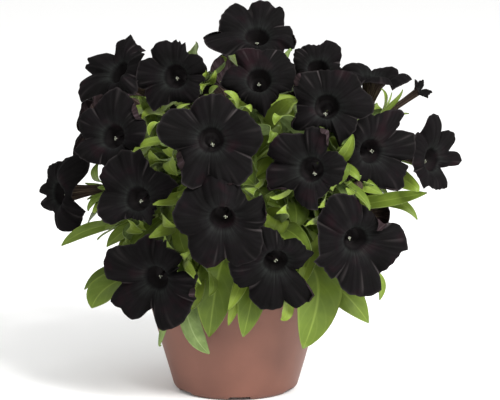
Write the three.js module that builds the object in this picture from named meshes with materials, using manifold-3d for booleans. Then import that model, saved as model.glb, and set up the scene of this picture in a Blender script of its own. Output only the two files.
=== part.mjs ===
// A black-flowered petunia in full bloom, growing in a plain round plastic nursery pot.
// Millimetres, +Z up. The origin is the centre of the pot's underside, and -Y is the front.
import * as THREE from 'three';
import { mergeVertices } from 'three/addons/utils/BufferGeometryUtils.js';
import Module from 'manifold-3d';

const wasm = await Module();
wasm.setup();

const UP = new THREE.Vector3(0, 0, 1);

// ---- driving dimensions of the pot ----
const POT_HEIGHT = 78;
const POT_BASE_RADIUS = 39.5;
const POT_FLARE = 0.285;          // how far the wall leans out for each mm of height
const POT_WALL = 1.2;
const POT_FLOOR = 1.6;
const LIP_RADIUS = 61.8;
const LIP_HEIGHT = 8;
const BASE_CORNER = 2.5;
const CENTRE_FOOT_RADIUS = 14;    // the flat disc under the middle that the pot also stands on
const FOOT_RING_INNER = 33;
const UNDERSIDE_RECESS = 2.8;     // depth of the drained channel between the two feet
const POT_SEGMENTS = 40;

const NOTCH_COUNT = 6;
const NOTCH_WIDTH = 16;
const NOTCH_TOP_WIDTH = 13;
const NOTCH_HEIGHT = 2.4;
const FRONT_NOTCH_ANGLE = 4;      // degrees to the right of the front
const DRAIN_COUNT = 6;
const DRAIN_RADIUS = 3.5;
const DRAIN_CIRCLE = 24.5;

const SOIL_SURFACE = 70;
const SOIL_EDGE = 67;
const SOIL_GAP = 0.5;

// ---- driving dimensions of the plant ----
const TOUCH_GAP = 0.3;
const STEM_RADIUS = 2.1;
const STEM_RING = 12;             // the stems leave the soil on a ring of this radius
const STALK_RADIUS = 1.1;
const STALK_STEPS = 5;
const STEM_STEPS = 7;
const CALYX_LENGTH = 9;
const CALYX_TOP = 3.2;

const TUBE_LENGTH = 34;
const TUBE_BASE_RADIUS = 2.3;
const THROAT_RADIUS = 6.8;
const THROAT_DEPTH = 9;
const PETAL_THICKNESS = 0.9;
const LOBE_COUNT = 5;
const LOBE_NOTCH = 0.13;          // how much shorter the rim is between two lobes
const COROLLA_SEGMENTS = 20;

const LEAF_THICKNESS = 0.9;
const LEAF_STEPS = 7;
const LEAF_FOLD = 0.16;           // how far each half is folded up, as a share of its width
const LEAF_CLEARANCE = 3.4;       // from the axis of its stem to the foot of a leaf

const POT_PLASTIC = { color: '#936a5d', roughness: 0.55, metalness: 0 };
const PEAT = { color: '#3a2a1e', roughness: 0.95, metalness: 0 };
const PETAL = { color: '#1f1a1b', roughness: 0.6, metalness: 0 };
const GREEN_STEM = { color: '#7d8f45', roughness: 0.6, metalness: 0 };
const GREEN_LEAF = { color: '#7b9134', roughness: 0.6, metalness: 0 };

// Stems: name, distance of the foot from the pot's axis, angle from the front (degrees, right is
// positive), tip point.
const STEMS = [
  ['stem_front', STEM_RING, -10, [-7, -44, 148]],
  ['stem_front_right', STEM_RING, 20, [12, -30, 146]],
  ['stem_right_front', STEM_RING, 48, [40, -36, 138]],
  ['stem_right_inner', STEM_RING, 75, [48, -18, 134]],
  ['stem_right', STEM_RING, 101, [58, 2, 136]],
  ['stem_right_back', STEM_RING, 128, [44, 30, 104]],
  ['stem_back_right', STEM_RING, 155, [26, 34, 142]],
  ['stem_back', STEM_RING, 182, [-4, 42, 132]],
  ['stem_back_left', STEM_RING, -146, [-30, 38, 122]],
  ['stem_left', STEM_RING, -102, [-46, 6, 128]],
  ['stem_left_front', STEM_RING, -72, [-30, -14, 150]],
  ['stem_front_left', STEM_RING, -41, [-28, -34, 108]],
  ['stem_centre', 0, 0, [5, 5, 158]],
];

// Flowers: name, stem, where its stalk leaves the stem (0 soil, 1 tip), centre of the open face,
// way it faces (degrees to the right of the front, degrees up), radius, turn of the lobes (degrees).
const FLOWERS = [
  ['top', 'stem_centre', 0.95, [10, -14, 234], 4, 50, 29, 0],
  ['top_left', 'stem_left', 0.95, [-78, -20, 208], -56, 32, 29, 20],
  ['upper_left', 'stem_left_front', 0.95, [-40, -50, 208], -18, 10, 24, 18],
  ['upper_middle', 'stem_front_right', 0.95, [14, -62, 207], 0, 24, 25, 36],
  ['upper_right_back', 'stem_back_right', 0.95, [52, 2, 208], 12, 40, 22, 36],
  ['upper_right', 'stem_right_front', 0.95, [59, -76, 190], 4, 8, 27, 10],
  ['trumpet', 'stem_right', 0.95, [89, -4, 205], 40, 70, 24, 0],
  ['left', 'stem_left_front', 0.7, [-76, -54, 177], -28, 20, 25.5, 0],
  ['centre', 'stem_front', 0.95, [-14, -106, 175], 0, 8, 31.5, 0],
  ['middle_right', 'stem_right_front', 0.8, [42, -100, 159], -14, 4, 25.5, 10],
  ['right', 'stem_right_inner', 0.95, [90, -60, 164], 30, 4, 26, 20],
  ['far_right', 'stem_right', 0.75, [127, -20, 155], 50, 6, 24, 0],
  ['far_left', 'stem_left', 0.7, [-112, -14, 130], -58, 2, 25.5, 10],
  ['middle_left', 'stem_front_left', 0.95, [-57, -84, 144], -18, 16, 25.5, 0],
  ['front', 'stem_front', 0.6, [-4, -110, 127], 0, -18, 32, 0],
  ['low_front', 'stem_front_right', 0.35, [22, -92, 94], 6, -22, 28, 0],
  ['low_right', 'stem_right_front', 0.45, [77, -84, 108], 18, -8, 32, 10],
  ['low_left', 'stem_front_left', 0.4, [-51, -84, 87], -24, -10, 31, 36],
  ['back', 'stem_back', 0.95, [-4, 104, 176], 180, 8, 31, 0],
  ['back_left', 'stem_back_left', 0.95, [-68, 84, 172], -140, 12, 28, 10],
  ['back_right', 'stem_back_right', 0.75, [62, 86, 176], 145, 12, 28, 20],
  ['low_back', 'stem_back', 0.5, [8, 104, 116], 176, -6, 30, 30],
  ['low_back_left', 'stem_back_left', 0.5, [-66, 80, 112], -140, -6, 29, 0],
  ['low_back_right', 'stem_right_back', 0.95, [70, 82, 114], 140, -4, 29, 36],
  ['side_left', 'stem_left', 0.85, [-98, 40, 168], -104, 8, 26, 0],
  ['side_right', 'stem_right_back', 0.7, [104, 44, 152], 104, 6, 26, 20],
  ['low_side_right', 'stem_right_back', 0.4, [92, 34, 106], 112, -6, 27, 0],
  ['top_back', 'stem_centre', 0.8, [-38, 52, 188], -160, 44, 26, 20],
  ['top_back_right', 'stem_back_right', 0.6, [28, 46, 192], 160, 44, 25, 0],
];

// Buds: the same columns, with the length of the bud in place of the lobes' turn.
const BUDS = [
  ['opening_right', 'stem_right', 0.85, [117, -22, 197], 62, 36, 9, 30],
  ['small_right', 'stem_right_inner', 0.8, [76, -74, 141], 10, -10, 3.2, 12],
];

// Leaves: name, stem, where it leaves the stem, the point that its arch bends to, tip point, width,
// way it faces (degrees to the right of the front, degrees up), how far along it is widest.
const LEAVES = [
  ['front_left', 'stem_front', 0.12, [-8, -72, 119], [-16, -66, 48], 25, -10, 0, 0.6],
  ['front_middle', 'stem_front_right', 0.1, [18, -76, 102], [5, -74, 50], 17, 0, 0, 0.68],
  ['front_right', 'stem_right_front', 0.34, [70, -68, 109], [42, -64, 40], 30, 15, 0, 0.61],
  ['right_low', 'stem_right_inner', 0.2, [57, -60, 96], [83, -54, 54], 22, 30, 5, 0.64],
  ['right_rim', 'stem_right', 0.15, [102, -14, 94], [92, -16, 60], 14, 50, 10, 0.7],
  ['left_rim', 'stem_left', 0.15, [-74, -24, 94], [-95, -34, 71], 14, -45, 20, 0.68],
  ['left_low', 'stem_front_left', 0.1, [-78, -50, 94], [-89, -56, 64], 20, -30, 10, 0.84],
  ['left_long', 'stem_left', 0.5, [-82, -28, 123], [-109, -34, 99], 8.5, -10, 25, 0.8],
  ['right_long', 'stem_right_inner', 0.68, [94, -24, 126], [120, -30, 132], 9, 0, 30, 0.74],
  ['right_middle', 'stem_right_inner', 0.56, [102, -14, 140], [115, -20, 113], 9, 10, 10, 0.7],
  ['back_left', 'stem_back_left', 0.12, [-46, 66, 121], [-46, 66, 44], 24, -140, 0, 0.66],
  ['back_middle', 'stem_back', 0.12, [6, 83, 122], [6, 80, 42], 26, 176, 0, 0.66],
  ['back_right', 'stem_back_right', 0.1, [56, 58, 120], [56, 58, 46], 24, 140, 0, 0.66],
];

// ---- turning geometry into solids and back ----
function toManifold(geometry) {
  const bare = geometry.clone();
  bare.deleteAttribute('normal');
  bare.deleteAttribute('uv');
  const merged = mergeVertices(bare, 1e-4);
  const vertProperties = Float32Array.from(merged.attributes.position.array);
  const triVerts = Uint32Array.from(merged.index.array);
  return new wasm.Manifold(new wasm.Mesh({ numProp: 3, vertProperties, triVerts }));
}

function toGeometry(solid) {
  const mesh = solid.getMesh();
  const geometry = new THREE.BufferGeometry();
  geometry.setAttribute('position', new THREE.BufferAttribute(mesh.vertProperties, 3));
  geometry.setIndex(new THREE.BufferAttribute(mesh.triVerts, 1));
  geometry.computeVertexNormals();
  return geometry;
}

function named(name, geometry, finish) {
  const mesh = new THREE.Mesh(geometry, new THREE.MeshStandardMaterial(finish));
  mesh.name = name;
  return mesh;
}

// A profile of [radius, height] pairs turned about the Z axis.
function turned(profile, segments) {
  const points = profile.map(([radius, height]) => new THREE.Vector2(radius, height));
  return new THREE.LatheGeometry(points, segments).rotateX(Math.PI / 2);
}

function facing(rightDegrees, upDegrees) {
  const right = THREE.MathUtils.degToRad(rightDegrees);
  const up = THREE.MathUtils.degToRad(upDegrees);
  return new THREE.Vector3(
    Math.sin(right) * Math.cos(up), -Math.cos(right) * Math.cos(up), Math.sin(up));
}

// ---- the pot: one injection-moulded shell with a lip, two feet, notches and drain holes ----
function wallRadius(height) {
  return POT_BASE_RADIUS + POT_FLARE * height;
}

function potShell() {
  const lipBottom = POT_HEIGHT - LIP_HEIGHT;
  const floorTop = UNDERSIDE_RECESS + POT_FLOOR;
  const insideCorner = floorTop + 1.5;
  return turned([
    [0, 0],
    [CENTRE_FOOT_RADIUS, 0],
    [CENTRE_FOOT_RADIUS + 1.2, UNDERSIDE_RECESS],
    [FOOT_RING_INNER - 1, UNDERSIDE_RECESS],
    [FOOT_RING_INNER, 0],
    [POT_BASE_RADIUS - BASE_CORNER, 0],
    [POT_BASE_RADIUS - BASE_CORNER * 0.3, BASE_CORNER * 0.3],
    [wallRadius(BASE_CORNER), BASE_CORNER],
    [wallRadius(lipBottom), lipBottom],
    [LIP_RADIUS, lipBottom + 1],
    [LIP_RADIUS, POT_HEIGHT - 0.8],
    [LIP_RADIUS - 0.8, POT_HEIGHT],
    [LIP_RADIUS - 1.8, POT_HEIGHT],
    [wallRadius(lipBottom) - POT_WALL, lipBottom],
    [wallRadius(insideCorner) - POT_WALL, insideCorner],
    [wallRadius(insideCorner) - POT_WALL - 1.8, floorTop],
    [CENTRE_FOOT_RADIUS + 2.6, floorTop],
    [CENTRE_FOOT_RADIUS + 0.6, POT_FLOOR],
    [0, POT_FLOOR],
  ], POT_SEGMENTS);
}

// A wedge-sided opening through the outer foot, drawn upright and pushed outwards.
function notchCutter(degrees) {
  const half = NOTCH_WIDTH / 2;
  const halfTop = NOTCH_TOP_WIDTH / 2;
  const below = 1;
  const spread = half + (half - halfTop) * (below / NOTCH_HEIGHT);
  const outline = new THREE.Shape([
    new THREE.Vector2(-spread, -below),
    new THREE.Vector2(spread, -below),
    new THREE.Vector2(halfTop, NOTCH_HEIGHT),
    new THREE.Vector2(-halfTop, NOTCH_HEIGHT),
  ]);
  const cutter = new THREE.ExtrudeGeometry(outline, { depth: 14, bevelEnabled: false });
  cutter.rotateX(Math.PI / 2);
  cutter.translate(0, -(FOOT_RING_INNER - 3), 0);
  return cutter.rotateZ(THREE.MathUtils.degToRad(degrees));
}

function drainCutter(degrees) {
  const cutter = new THREE.CylinderGeometry(DRAIN_RADIUS, DRAIN_RADIUS, 6, 12);
  cutter.rotateX(Math.PI / 2);
  cutter.translate(0, -DRAIN_CIRCLE, UNDERSIDE_RECESS + POT_FLOOR / 2);
  return cutter.rotateZ(THREE.MathUtils.degToRad(degrees));
}

function pot() {
  let shell = toManifold(potShell());
  for (let i = 0; i < NOTCH_COUNT; i += 1) {
    const degrees = FRONT_NOTCH_ANGLE + (360 * i) / NOTCH_COUNT;
    shell = shell.subtract(toManifold(notchCutter(degrees)));
  }
  for (let i = 0; i < DRAIN_COUNT; i += 1) {
    const degrees = FRONT_NOTCH_ANGLE + (360 * (i + 0.5)) / DRAIN_COUNT;
    shell = shell.subtract(toManifold(drainCutter(degrees)));
  }
  return named('pot', toGeometry(shell), POT_PLASTIC);
}

// ---- the potting soil: fills the pot to just under the lip, a little higher in the middle ----
function pottingSoil() {
  const floorTop = UNDERSIDE_RECESS + POT_FLOOR;
  const corner = floorTop + 2;
  const inner = (height) => wallRadius(height) - POT_WALL - SOIL_GAP;
  return named('potting_soil', turned([
    [0, POT_FLOOR + 0.4],
    [CENTRE_FOOT_RADIUS, POT_FLOOR + 0.4],
    [CENTRE_FOOT_RADIUS + 2, floorTop + 0.4],
    [inner(corner) - 2, floorTop + 0.4],
    [inner(corner), corner],
    [inner(SOIL_EDGE), SOIL_EDGE],
    [inner(SOIL_EDGE) - 8, SOIL_SURFACE - 1],
    [STEM_RING * 2, SOIL_SURFACE],
    [0, SOIL_SURFACE],
  ], POT_SEGMENTS), PEAT);
}

// ---- the stems, with the stalk and calyx of each of their flowers ----
// A stem rises straight out of the soil, then leans out to its tip.
function stemCurve(ring, degrees, tip) {
  const angle = THREE.MathUtils.degToRad(degrees);
  const foot = new THREE.Vector3(ring * Math.sin(angle), -ring * Math.cos(angle),
    SOIL_SURFACE + TOUCH_GAP);
  const end = new THREE.Vector3(...tip);
  const height = end.z - foot.z;
  const above = foot.clone().addScaledVector(UP, height * 0.25);
  const bend = foot.clone().lerp(end, 0.45);
  bend.z = foot.z + height * 0.65;
  return new THREE.CubicBezierCurve3(foot, above, bend, end);
}

function rod(curve, radius, steps) {
  const section = new THREE.Shape();
  const sides = 5;
  for (let i = 0; i < sides; i += 1) {
    const angle = (2 * Math.PI * i) / sides;
    const x = radius * Math.cos(angle);
    const y = radius * Math.sin(angle);
    if (i === 0) {
      section.moveTo(x, y);
    } else {
      section.lineTo(x, y);
    }
  }
  return new THREE.ExtrudeGeometry(section, { steps, extrudePath: curve, bevelEnabled: false });
}

const CURVES = new Map(STEMS.map(([name, ...course]) => [name, stemCurve(...course)]));

// The flower's stalk leaves the stem along it and comes into the calyx along the flower's axis.
function stalkWithCalyx([, stem, leaves, head, right, up, , ], length) {
  const curve = CURVES.get(stem);
  const axis = facing(right, up);
  const start = curve.getPoint(leaves);
  const calyxTop = new THREE.Vector3(...head).addScaledVector(axis, -length - TOUCH_GAP);
  const calyxFoot = calyxTop.clone().addScaledVector(axis, -CALYX_LENGTH);
  const reach = calyxFoot.distanceTo(start) * 0.4;
  const stalk = new THREE.CubicBezierCurve3(
    start,
    start.clone().addScaledVector(curve.getTangent(leaves), reach),
    calyxFoot.clone().addScaledVector(axis, -reach),
    calyxFoot.clone().addScaledVector(axis, 1));
  const calyx = new THREE.CylinderGeometry(CALYX_TOP, STALK_RADIUS * 1.3, CALYX_LENGTH, 6);
  calyx.applyQuaternion(new THREE.Quaternion().setFromUnitVectors(new THREE.Vector3(0, 1, 0), axis));
  const middle = calyxTop.clone().lerp(calyxFoot, 0.5);
  calyx.translate(middle.x, middle.y, middle.z);
  return toManifold(rod(stalk, STALK_RADIUS, STALK_STEPS)).add(toManifold(calyx));
}

function stem([name]) {
  let solid = toManifold(rod(CURVES.get(name), STEM_RADIUS, STEM_STEPS));
  for (const flower of FLOWERS.filter((row) => row[1] === name)) {
    solid = solid.add(stalkWithCalyx(flower, TUBE_LENGTH));
  }
  for (const bud of BUDS.filter((row) => row[1] === name)) {
    solid = solid.add(stalkWithCalyx(bud, bud[7]));
  }
  return named(name, toGeometry(solid), GREEN_STEM);
}

// ---- the flowers: a funnel that opens into five joined lobes ----
// Beyond the throat the radius dips between the lobes, which is what parts them.
function lobed(geometry, throat, turn) {
  const position = geometry.attributes.position;
  for (let i = 0; i < position.count; i += 1) {
    const x = position.getX(i);
    const y = position.getY(i);
    const radius = Math.hypot(x, y);
    if (radius > throat * 1.2) {
      const angle = Math.atan2(y, x) - Math.PI / 2 - turn;
      const crest = Math.abs(Math.cos((LOBE_COUNT * angle) / 2));
      const scale = 1 - LOBE_NOTCH * (1 - crest ** 0.6);
      position.setX(i, x * scale);
      position.setY(i, y * scale);
    }
  }
  return geometry;
}

// Local X is the flower's right, Y its top and Z the way it faces.
function place(mesh, head, right, up) {
  const axis = facing(right, up);
  const side = UP.clone().cross(axis).normalize();
  const top = axis.clone().cross(side);
  const basis = new THREE.Matrix4().makeBasis(side, top, axis);
  mesh.position.set(...head);
  mesh.quaternion.setFromRotationMatrix(basis);
  return mesh;
}

function corolla([name, , , head, right, up, radius, turnDegrees]) {
  const funnel = turned([
    [0, -TUBE_LENGTH],
    [TUBE_BASE_RADIUS, -TUBE_LENGTH],
    [THROAT_RADIUS, -THROAT_DEPTH],
    [radius * 0.55, -2.2],
    [radius, 0],
    [radius * 0.55, PETAL_THICKNESS - 2],
    [THROAT_RADIUS - PETAL_THICKNESS, PETAL_THICKNESS - THROAT_DEPTH],
    [0, 6 - TUBE_LENGTH],
  ], COROLLA_SEGMENTS);
  const turn = THREE.MathUtils.degToRad(turnDegrees);
  return place(named(`flower_${name}`, lobed(funnel, THROAT_RADIUS, turn), PETAL), head, right, up);
}

// A bud is a closed spindle, fattest near its end, or a narrow trumpet when it is opening.
function bud([name, , , head, right, up, radius, length]) {
  const spindle = turned([
    [0, -length],
    [radius * 0.25, -length],
    [radius * 0.35, -length * 0.45],
    [radius, -radius * 0.3],
    [0, 0],
  ], 12);
  return place(named(`bud_${name}`, spindle, PETAL), head, right, up);
}

// ---- the leaves: thin blades on an arching midline, folded a little along the midrib ----
// The half width follows a sine, stretched so that it is greatest at the widest place.
function leaf([name, stem, leaves, bend, tip, width, right, up, widest]) {
  const foot = CURVES.get(stem).getPoint(leaves);
  const crest = new THREE.Vector3(...bend);
  const end = new THREE.Vector3(...tip);
  const outwards = crest.clone().sub(foot).setZ(0).normalize();
  foot.addScaledVector(outwards, LEAF_CLEARANCE);
  const midline = new THREE.QuadraticBezierCurve3(foot, crest, end);
  const level = facing(right, up).cross(end.clone().sub(crest));
  const stretch = Math.log(0.5) / Math.log(widest);
  const blade = new THREE.BoxGeometry(1, 1, LEAF_THICKNESS, LEAF_STEPS, 2, 1);
  const position = blade.attributes.position;
  for (let i = 0; i < position.count; i += 1) {
    const along = position.getX(i) + 0.5;
    const across = position.getY(i) * 2;
    const half = 1 + (width / 2 - 1) * Math.sin(Math.PI * along ** stretch) ** 0.8;
    const heading = midline.getTangentAt(along);
    const side = level.clone().projectOnPlane(heading).normalize();
    const upper = heading.clone().cross(side);
    const spot = midline.getPointAt(along).sub(foot);
    spot.addScaledVector(side, half * across);
    spot.addScaledVector(upper, position.getZ(i) + LEAF_FOLD * half * Math.abs(across));
    position.setXYZ(i, spot.x, spot.y, spot.z);
  }
  const mesh = named(`leaf_${name}`, blade, GREEN_LEAF);
  mesh.position.copy(foot);
  return mesh;
}

const petunia = new THREE.Group();
petunia.add(pot(), pottingSoil());
petunia.add(...STEMS.map(stem), ...FLOWERS.map(corolla), ...BUDS.map(bud), ...LEAVES.map(leaf));

export default petunia;
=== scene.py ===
import math

import bpy
import numpy as np
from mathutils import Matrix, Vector


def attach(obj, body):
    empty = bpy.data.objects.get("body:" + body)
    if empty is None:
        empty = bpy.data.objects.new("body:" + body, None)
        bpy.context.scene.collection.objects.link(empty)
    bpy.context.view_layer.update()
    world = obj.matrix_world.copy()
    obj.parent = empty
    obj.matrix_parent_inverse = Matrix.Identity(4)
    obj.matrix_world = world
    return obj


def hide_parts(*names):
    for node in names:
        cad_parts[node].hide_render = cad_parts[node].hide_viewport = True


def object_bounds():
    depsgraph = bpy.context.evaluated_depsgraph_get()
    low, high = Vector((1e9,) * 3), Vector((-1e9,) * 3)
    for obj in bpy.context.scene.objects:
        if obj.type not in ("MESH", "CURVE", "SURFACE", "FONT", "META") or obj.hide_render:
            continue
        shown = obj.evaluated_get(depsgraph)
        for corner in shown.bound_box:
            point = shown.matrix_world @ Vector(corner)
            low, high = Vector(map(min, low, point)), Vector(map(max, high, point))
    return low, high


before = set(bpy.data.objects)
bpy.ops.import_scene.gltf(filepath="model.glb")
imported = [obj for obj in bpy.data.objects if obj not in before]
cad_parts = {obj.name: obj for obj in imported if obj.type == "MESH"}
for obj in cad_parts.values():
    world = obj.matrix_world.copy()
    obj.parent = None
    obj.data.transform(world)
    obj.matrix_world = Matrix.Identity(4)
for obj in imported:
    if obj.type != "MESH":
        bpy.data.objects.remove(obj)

cad_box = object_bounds()

# ---- where the plant is seen from, and what lights it ----
# A long lens looks down a little on the plant, which stands in a white studio: a broad soft light
# from the upper right, a weaker one from the left and a low one from the front.
MM = 0.001
CAMERA_PITCH = math.radians(10)
CAMERA_DISTANCE = 1400 * MM
CAMERA_AIM = (9.23 * MM, 0, 122.1 * MM)
SENSOR_WIDTH = 36
LENS = 157.43
camera_data = bpy.data.cameras.new("camera")
camera_data.sensor_width = SENSOR_WIDTH
camera_data.lens = LENS
camera = bpy.data.objects.new("camera", camera_data)
camera.location = (CAMERA_AIM[0], -CAMERA_DISTANCE * math.cos(CAMERA_PITCH),
                   CAMERA_AIM[2] + CAMERA_DISTANCE * math.sin(CAMERA_PITCH))
camera.rotation_euler = (math.pi / 2 - CAMERA_PITCH, 0, 0)
bpy.context.collection.objects.link(camera)
bpy.context.scene.camera = camera
# Near-black petals on a white ground keep their contrast only in the plain view.
bpy.context.scene.view_settings.view_transform = "Standard"


def linear(colour, alpha=1.0):
    """An sRGB hex colour such as '#7b9134' as the linear numbers that a shader takes."""
    parts = [int(colour[i:i + 2], 16) / 255 for i in (1, 3, 5)]
    return [p / 12.92 if p <= 0.04045 else ((p + 0.055) / 1.055) ** 2.4 for p in parts] + [alpha]


def soft_light(name, place, power, size):
    """A square area light that faces the middle of the plant."""
    data = bpy.data.lights.new(name, "AREA")
    data.energy = power
    data.size = size
    light = bpy.data.objects.new(name, data)
    light.location = place
    light.rotation_euler = (Vector(place) - Vector(CAMERA_AIM)).to_track_quat("Z", "Y").to_euler()
    bpy.context.collection.objects.link(light)


soft_light("key_light", (0.75, -0.95, 1.15), 46, 0.7)
soft_light("fill_light", (-1.0, -0.9, 0.5), 1.0, 0.9)
soft_light("front_light", (0.1, -1.5, 0.25), 1.5, 0.8)

world = bpy.data.worlds.new("studio")
world.use_nodes = True
world.node_tree.nodes["Background"].inputs["Color"].default_value = linear("#ffffff")
world.node_tree.nodes["Background"].inputs["Strength"].default_value = 1.0
bpy.context.scene.world = world


def material(name, roughness, ior=1.45, specular=0.5):
    """A new material and its shader, with the finish that is the same all over the surface."""
    made = bpy.data.materials.new(name)
    made.use_nodes = True
    shader = made.node_tree.nodes["Principled BSDF"]
    shader.inputs["Roughness"].default_value = roughness
    shader.inputs["IOR"].default_value = ior
    shader.inputs["Specular IOR Level"].default_value = specular
    return made, shader


# The floor is a plain pale sheet, wide enough to fill the view.
FLOOR_REACH = 6.0
floor_mesh = bpy.data.meshes.new("floor")
floor_mesh.from_pydata([(-FLOOR_REACH, -FLOOR_REACH, 0), (FLOOR_REACH, -FLOOR_REACH, 0),
                        (FLOOR_REACH, FLOOR_REACH, 0), (-FLOOR_REACH, FLOOR_REACH, 0)],
                       [], [(0, 1, 2, 3)])
floor = bpy.data.objects.new("floor", floor_mesh)
bpy.context.collection.objects.link(floor)
floor_paint, floor_shader = material("pale_floor", 0.9, specular=0.1)
floor_shader.inputs["Base Color"].default_value = linear("#f7f7f6")
floor_mesh.materials.append(floor_paint)

# ---- the pot ----
# A round tapered nursery pot of injection-moulded polypropylene, terracotta-coloured and matt,
# with a plain lip, a foot ring with six drain notches and a ring of drain holes in its floor.
POT_HEIGHT = 78
POT_BASE_RADIUS = 39.5
POT_FLARE = 0.285
POT_WALL = 1.2
POT_FLOOR = 1.6
LIP_RADIUS = 61.8
LIP_BOTTOM = 70
CENTRE_FOOT = 14
FOOT_RING_INNER = 33
RECESS = 2.8
FLOOR_TOP = RECESS + POT_FLOOR
INNER_CORNER = FLOOR_TOP + 1.5
NOTCHES = 6
NOTCH_TURN = math.radians(4)
NOTCH_HEIGHT = 2.4
NOTCH_HALF = 8.0
NOTCH_TOP_HALF = 6.5
DRAIN_RADIUS = 3.5
DRAIN_CIRCLE = 24.5
DRAIN_SPAN = (1.9, 5.5)     # heights that a plug runs between, below and above the floor
AROUND_POT = 360


def wall(height):
    """Outer radius of the pot's wall at a height: the base radius plus the flare times height."""
    return POT_BASE_RADIUS + POT_FLARE * height


def mesh_object(name, points, faces, smooth=True):
    """A mesh object at the origin from points in millimetres and lists of corner numbers."""
    mesh = bpy.data.meshes.new(name)
    mesh.from_pydata((np.asarray(points, float) * MM).tolist(), [], faces)
    mesh.polygons.foreach_set("use_smooth", np.full(len(mesh.polygons), smooth))
    mesh.update()
    made = bpy.data.objects.new(name, mesh)
    bpy.context.collection.objects.link(made)
    return made


def grid_faces(rows, columns, around=False):
    """Quads between the neighbours of a grid; around joins the last column to the first."""
    index = np.arange(rows * columns).reshape(rows, columns)
    if around:
        index = np.hstack([index, index[:, :1]])
    return np.stack([index[:-1, :-1], index[:-1, 1:], index[1:, 1:], index[1:, :-1]],
                    -1).reshape(-1, 4)


def rounded(profile, steps=4, reach=1.0):
    """A polyline with each corner swapped for a quadratic arc that starts reach before it."""
    profile = np.asarray(profile, float)
    out = [profile[:1]]
    t = np.linspace(0, 1, steps)[:, None]
    for before, corner, after in zip(profile[:-2], profile[1:-1], profile[2:]):
        back, on = before - corner, after - corner
        back_length, on_length = np.linalg.norm(back), np.linalg.norm(on)
        cut = min(reach, back_length * 0.42, on_length * 0.42)
        start, end = corner + back / back_length * cut, corner + on / on_length * cut
        out.append((1 - t) ** 2 * start + 2 * t * (1 - t) * corner + t ** 2 * end)
    out.append(profile[-1:])
    return np.vstack(out)


def turned(profile, around):
    """A profile of (radius, height) rows turned about Z: columns are angles, and the first and
    last rows close on the axis with a fan. Returns the points as a grid and the faces."""
    angle = np.linspace(0, 2 * np.pi, around, endpoint=False)
    radius = profile[:, :1]
    grid = np.stack([radius * np.cos(angle), radius * np.sin(angle),
                     np.repeat(profile[:, 1:], around, 1)], -1)
    rows = len(profile)
    ring = np.arange(around)
    first = np.stack([np.roll(ring, -1), ring, np.full(around, rows * around)], -1)
    last = np.stack([ring + (rows - 1) * around, np.roll(ring, -1) + (rows - 1) * around,
                     np.full(around, rows * around + 1)], -1)
    return grid, [*grid_faces(rows, around, True).tolist(), *first.tolist(), *last.tolist()]


pot_profile = rounded([
    (0.5, 0), (CENTRE_FOOT, 0), (CENTRE_FOOT + 1.2, RECESS), (FOOT_RING_INNER - 1, RECESS),
    (FOOT_RING_INNER, 0), (POT_BASE_RADIUS - 2.5, 0), (POT_BASE_RADIUS - 0.75, 0.75),
    (wall(2.5), 2.5), (wall(18), 18), (wall(36), 36), (wall(54), 54), (wall(LIP_BOTTOM), LIP_BOTTOM),
    (LIP_RADIUS, LIP_BOTTOM + 1), (LIP_RADIUS, POT_HEIGHT - 0.8), (LIP_RADIUS - 0.8, POT_HEIGHT),
    (LIP_RADIUS - 1.8, POT_HEIGHT), (wall(LIP_BOTTOM) - POT_WALL, LIP_BOTTOM),
    (wall(36) - POT_WALL, 36), (wall(INNER_CORNER) - POT_WALL, INNER_CORNER),
    (wall(INNER_CORNER) - POT_WALL - 1.8, FLOOR_TOP), (CENTRE_FOOT + 2.6, FLOOR_TOP),
    (CENTRE_FOOT + 0.6, POT_FLOOR), (0.5, POT_FLOOR)])
pot_grid, pot_faces = turned(pot_profile, AROUND_POT)
# The notches lift the foot ring: flat over the middle, with sides that slope to the floor.
column_angle = np.arctan2(pot_grid[0, :, 1], pot_grid[0, :, 0]) + np.pi / 2 - NOTCH_TURN
pitch = 2 * np.pi / NOTCHES
off_notch = np.abs((column_angle + pitch / 2) % pitch - pitch / 2) * POT_BASE_RADIUS
notch_lift = NOTCH_HEIGHT * np.clip((NOTCH_HALF - off_notch) / (NOTCH_HALF - NOTCH_TOP_HALF), 0, 1)
foot_rows = (pot_profile[:, 0] > FOOT_RING_INNER - 1.2) & (pot_profile[:, 1] < NOTCH_HEIGHT)
pot_grid[foot_rows, :, 2] = np.maximum(pot_grid[foot_rows, :, 2], notch_lift)
pot_middle = [[0, 0, 0], [0, 0, POT_FLOOR]]
pot = mesh_object("nursery_pot", np.vstack([pot_grid.reshape(-1, 3), pot_middle]), pot_faces)


def carved(piece, cutters):
    """The piece with each cutter taken out of it; the cutters are used up."""
    for cutter in cutters:
        cut = piece.modifiers.new("cut", "BOOLEAN")
        cut.operation = "DIFFERENCE"
        cut.solver = "EXACT"
        cut.object = cutter
    shaped = piece.evaluated_get(bpy.context.evaluated_depsgraph_get())
    piece.data = bpy.data.meshes.new_from_object(shaped)
    piece.modifiers.clear()
    for cutter in cutters:
        bpy.data.objects.remove(cutter)


def drain_cutter(number):
    """An upright round plug through the floor, a share of a turn on from the last."""
    angle = NOTCH_TURN - math.pi / 2 + (number + 0.5) * pitch
    low, high = DRAIN_SPAN
    grid, faces = turned(np.array([(DRAIN_RADIUS, low), (DRAIN_RADIUS, high)]), 24)
    points = np.vstack([grid.reshape(-1, 3), [[0, 0, low], [0, 0, high]]])
    points += (DRAIN_CIRCLE * math.cos(angle), DRAIN_CIRCLE * math.sin(angle), 0)
    return mesh_object("drain_cutter", points, faces)


carved(pot, [drain_cutter(i) for i in range(NOTCHES)])


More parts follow.
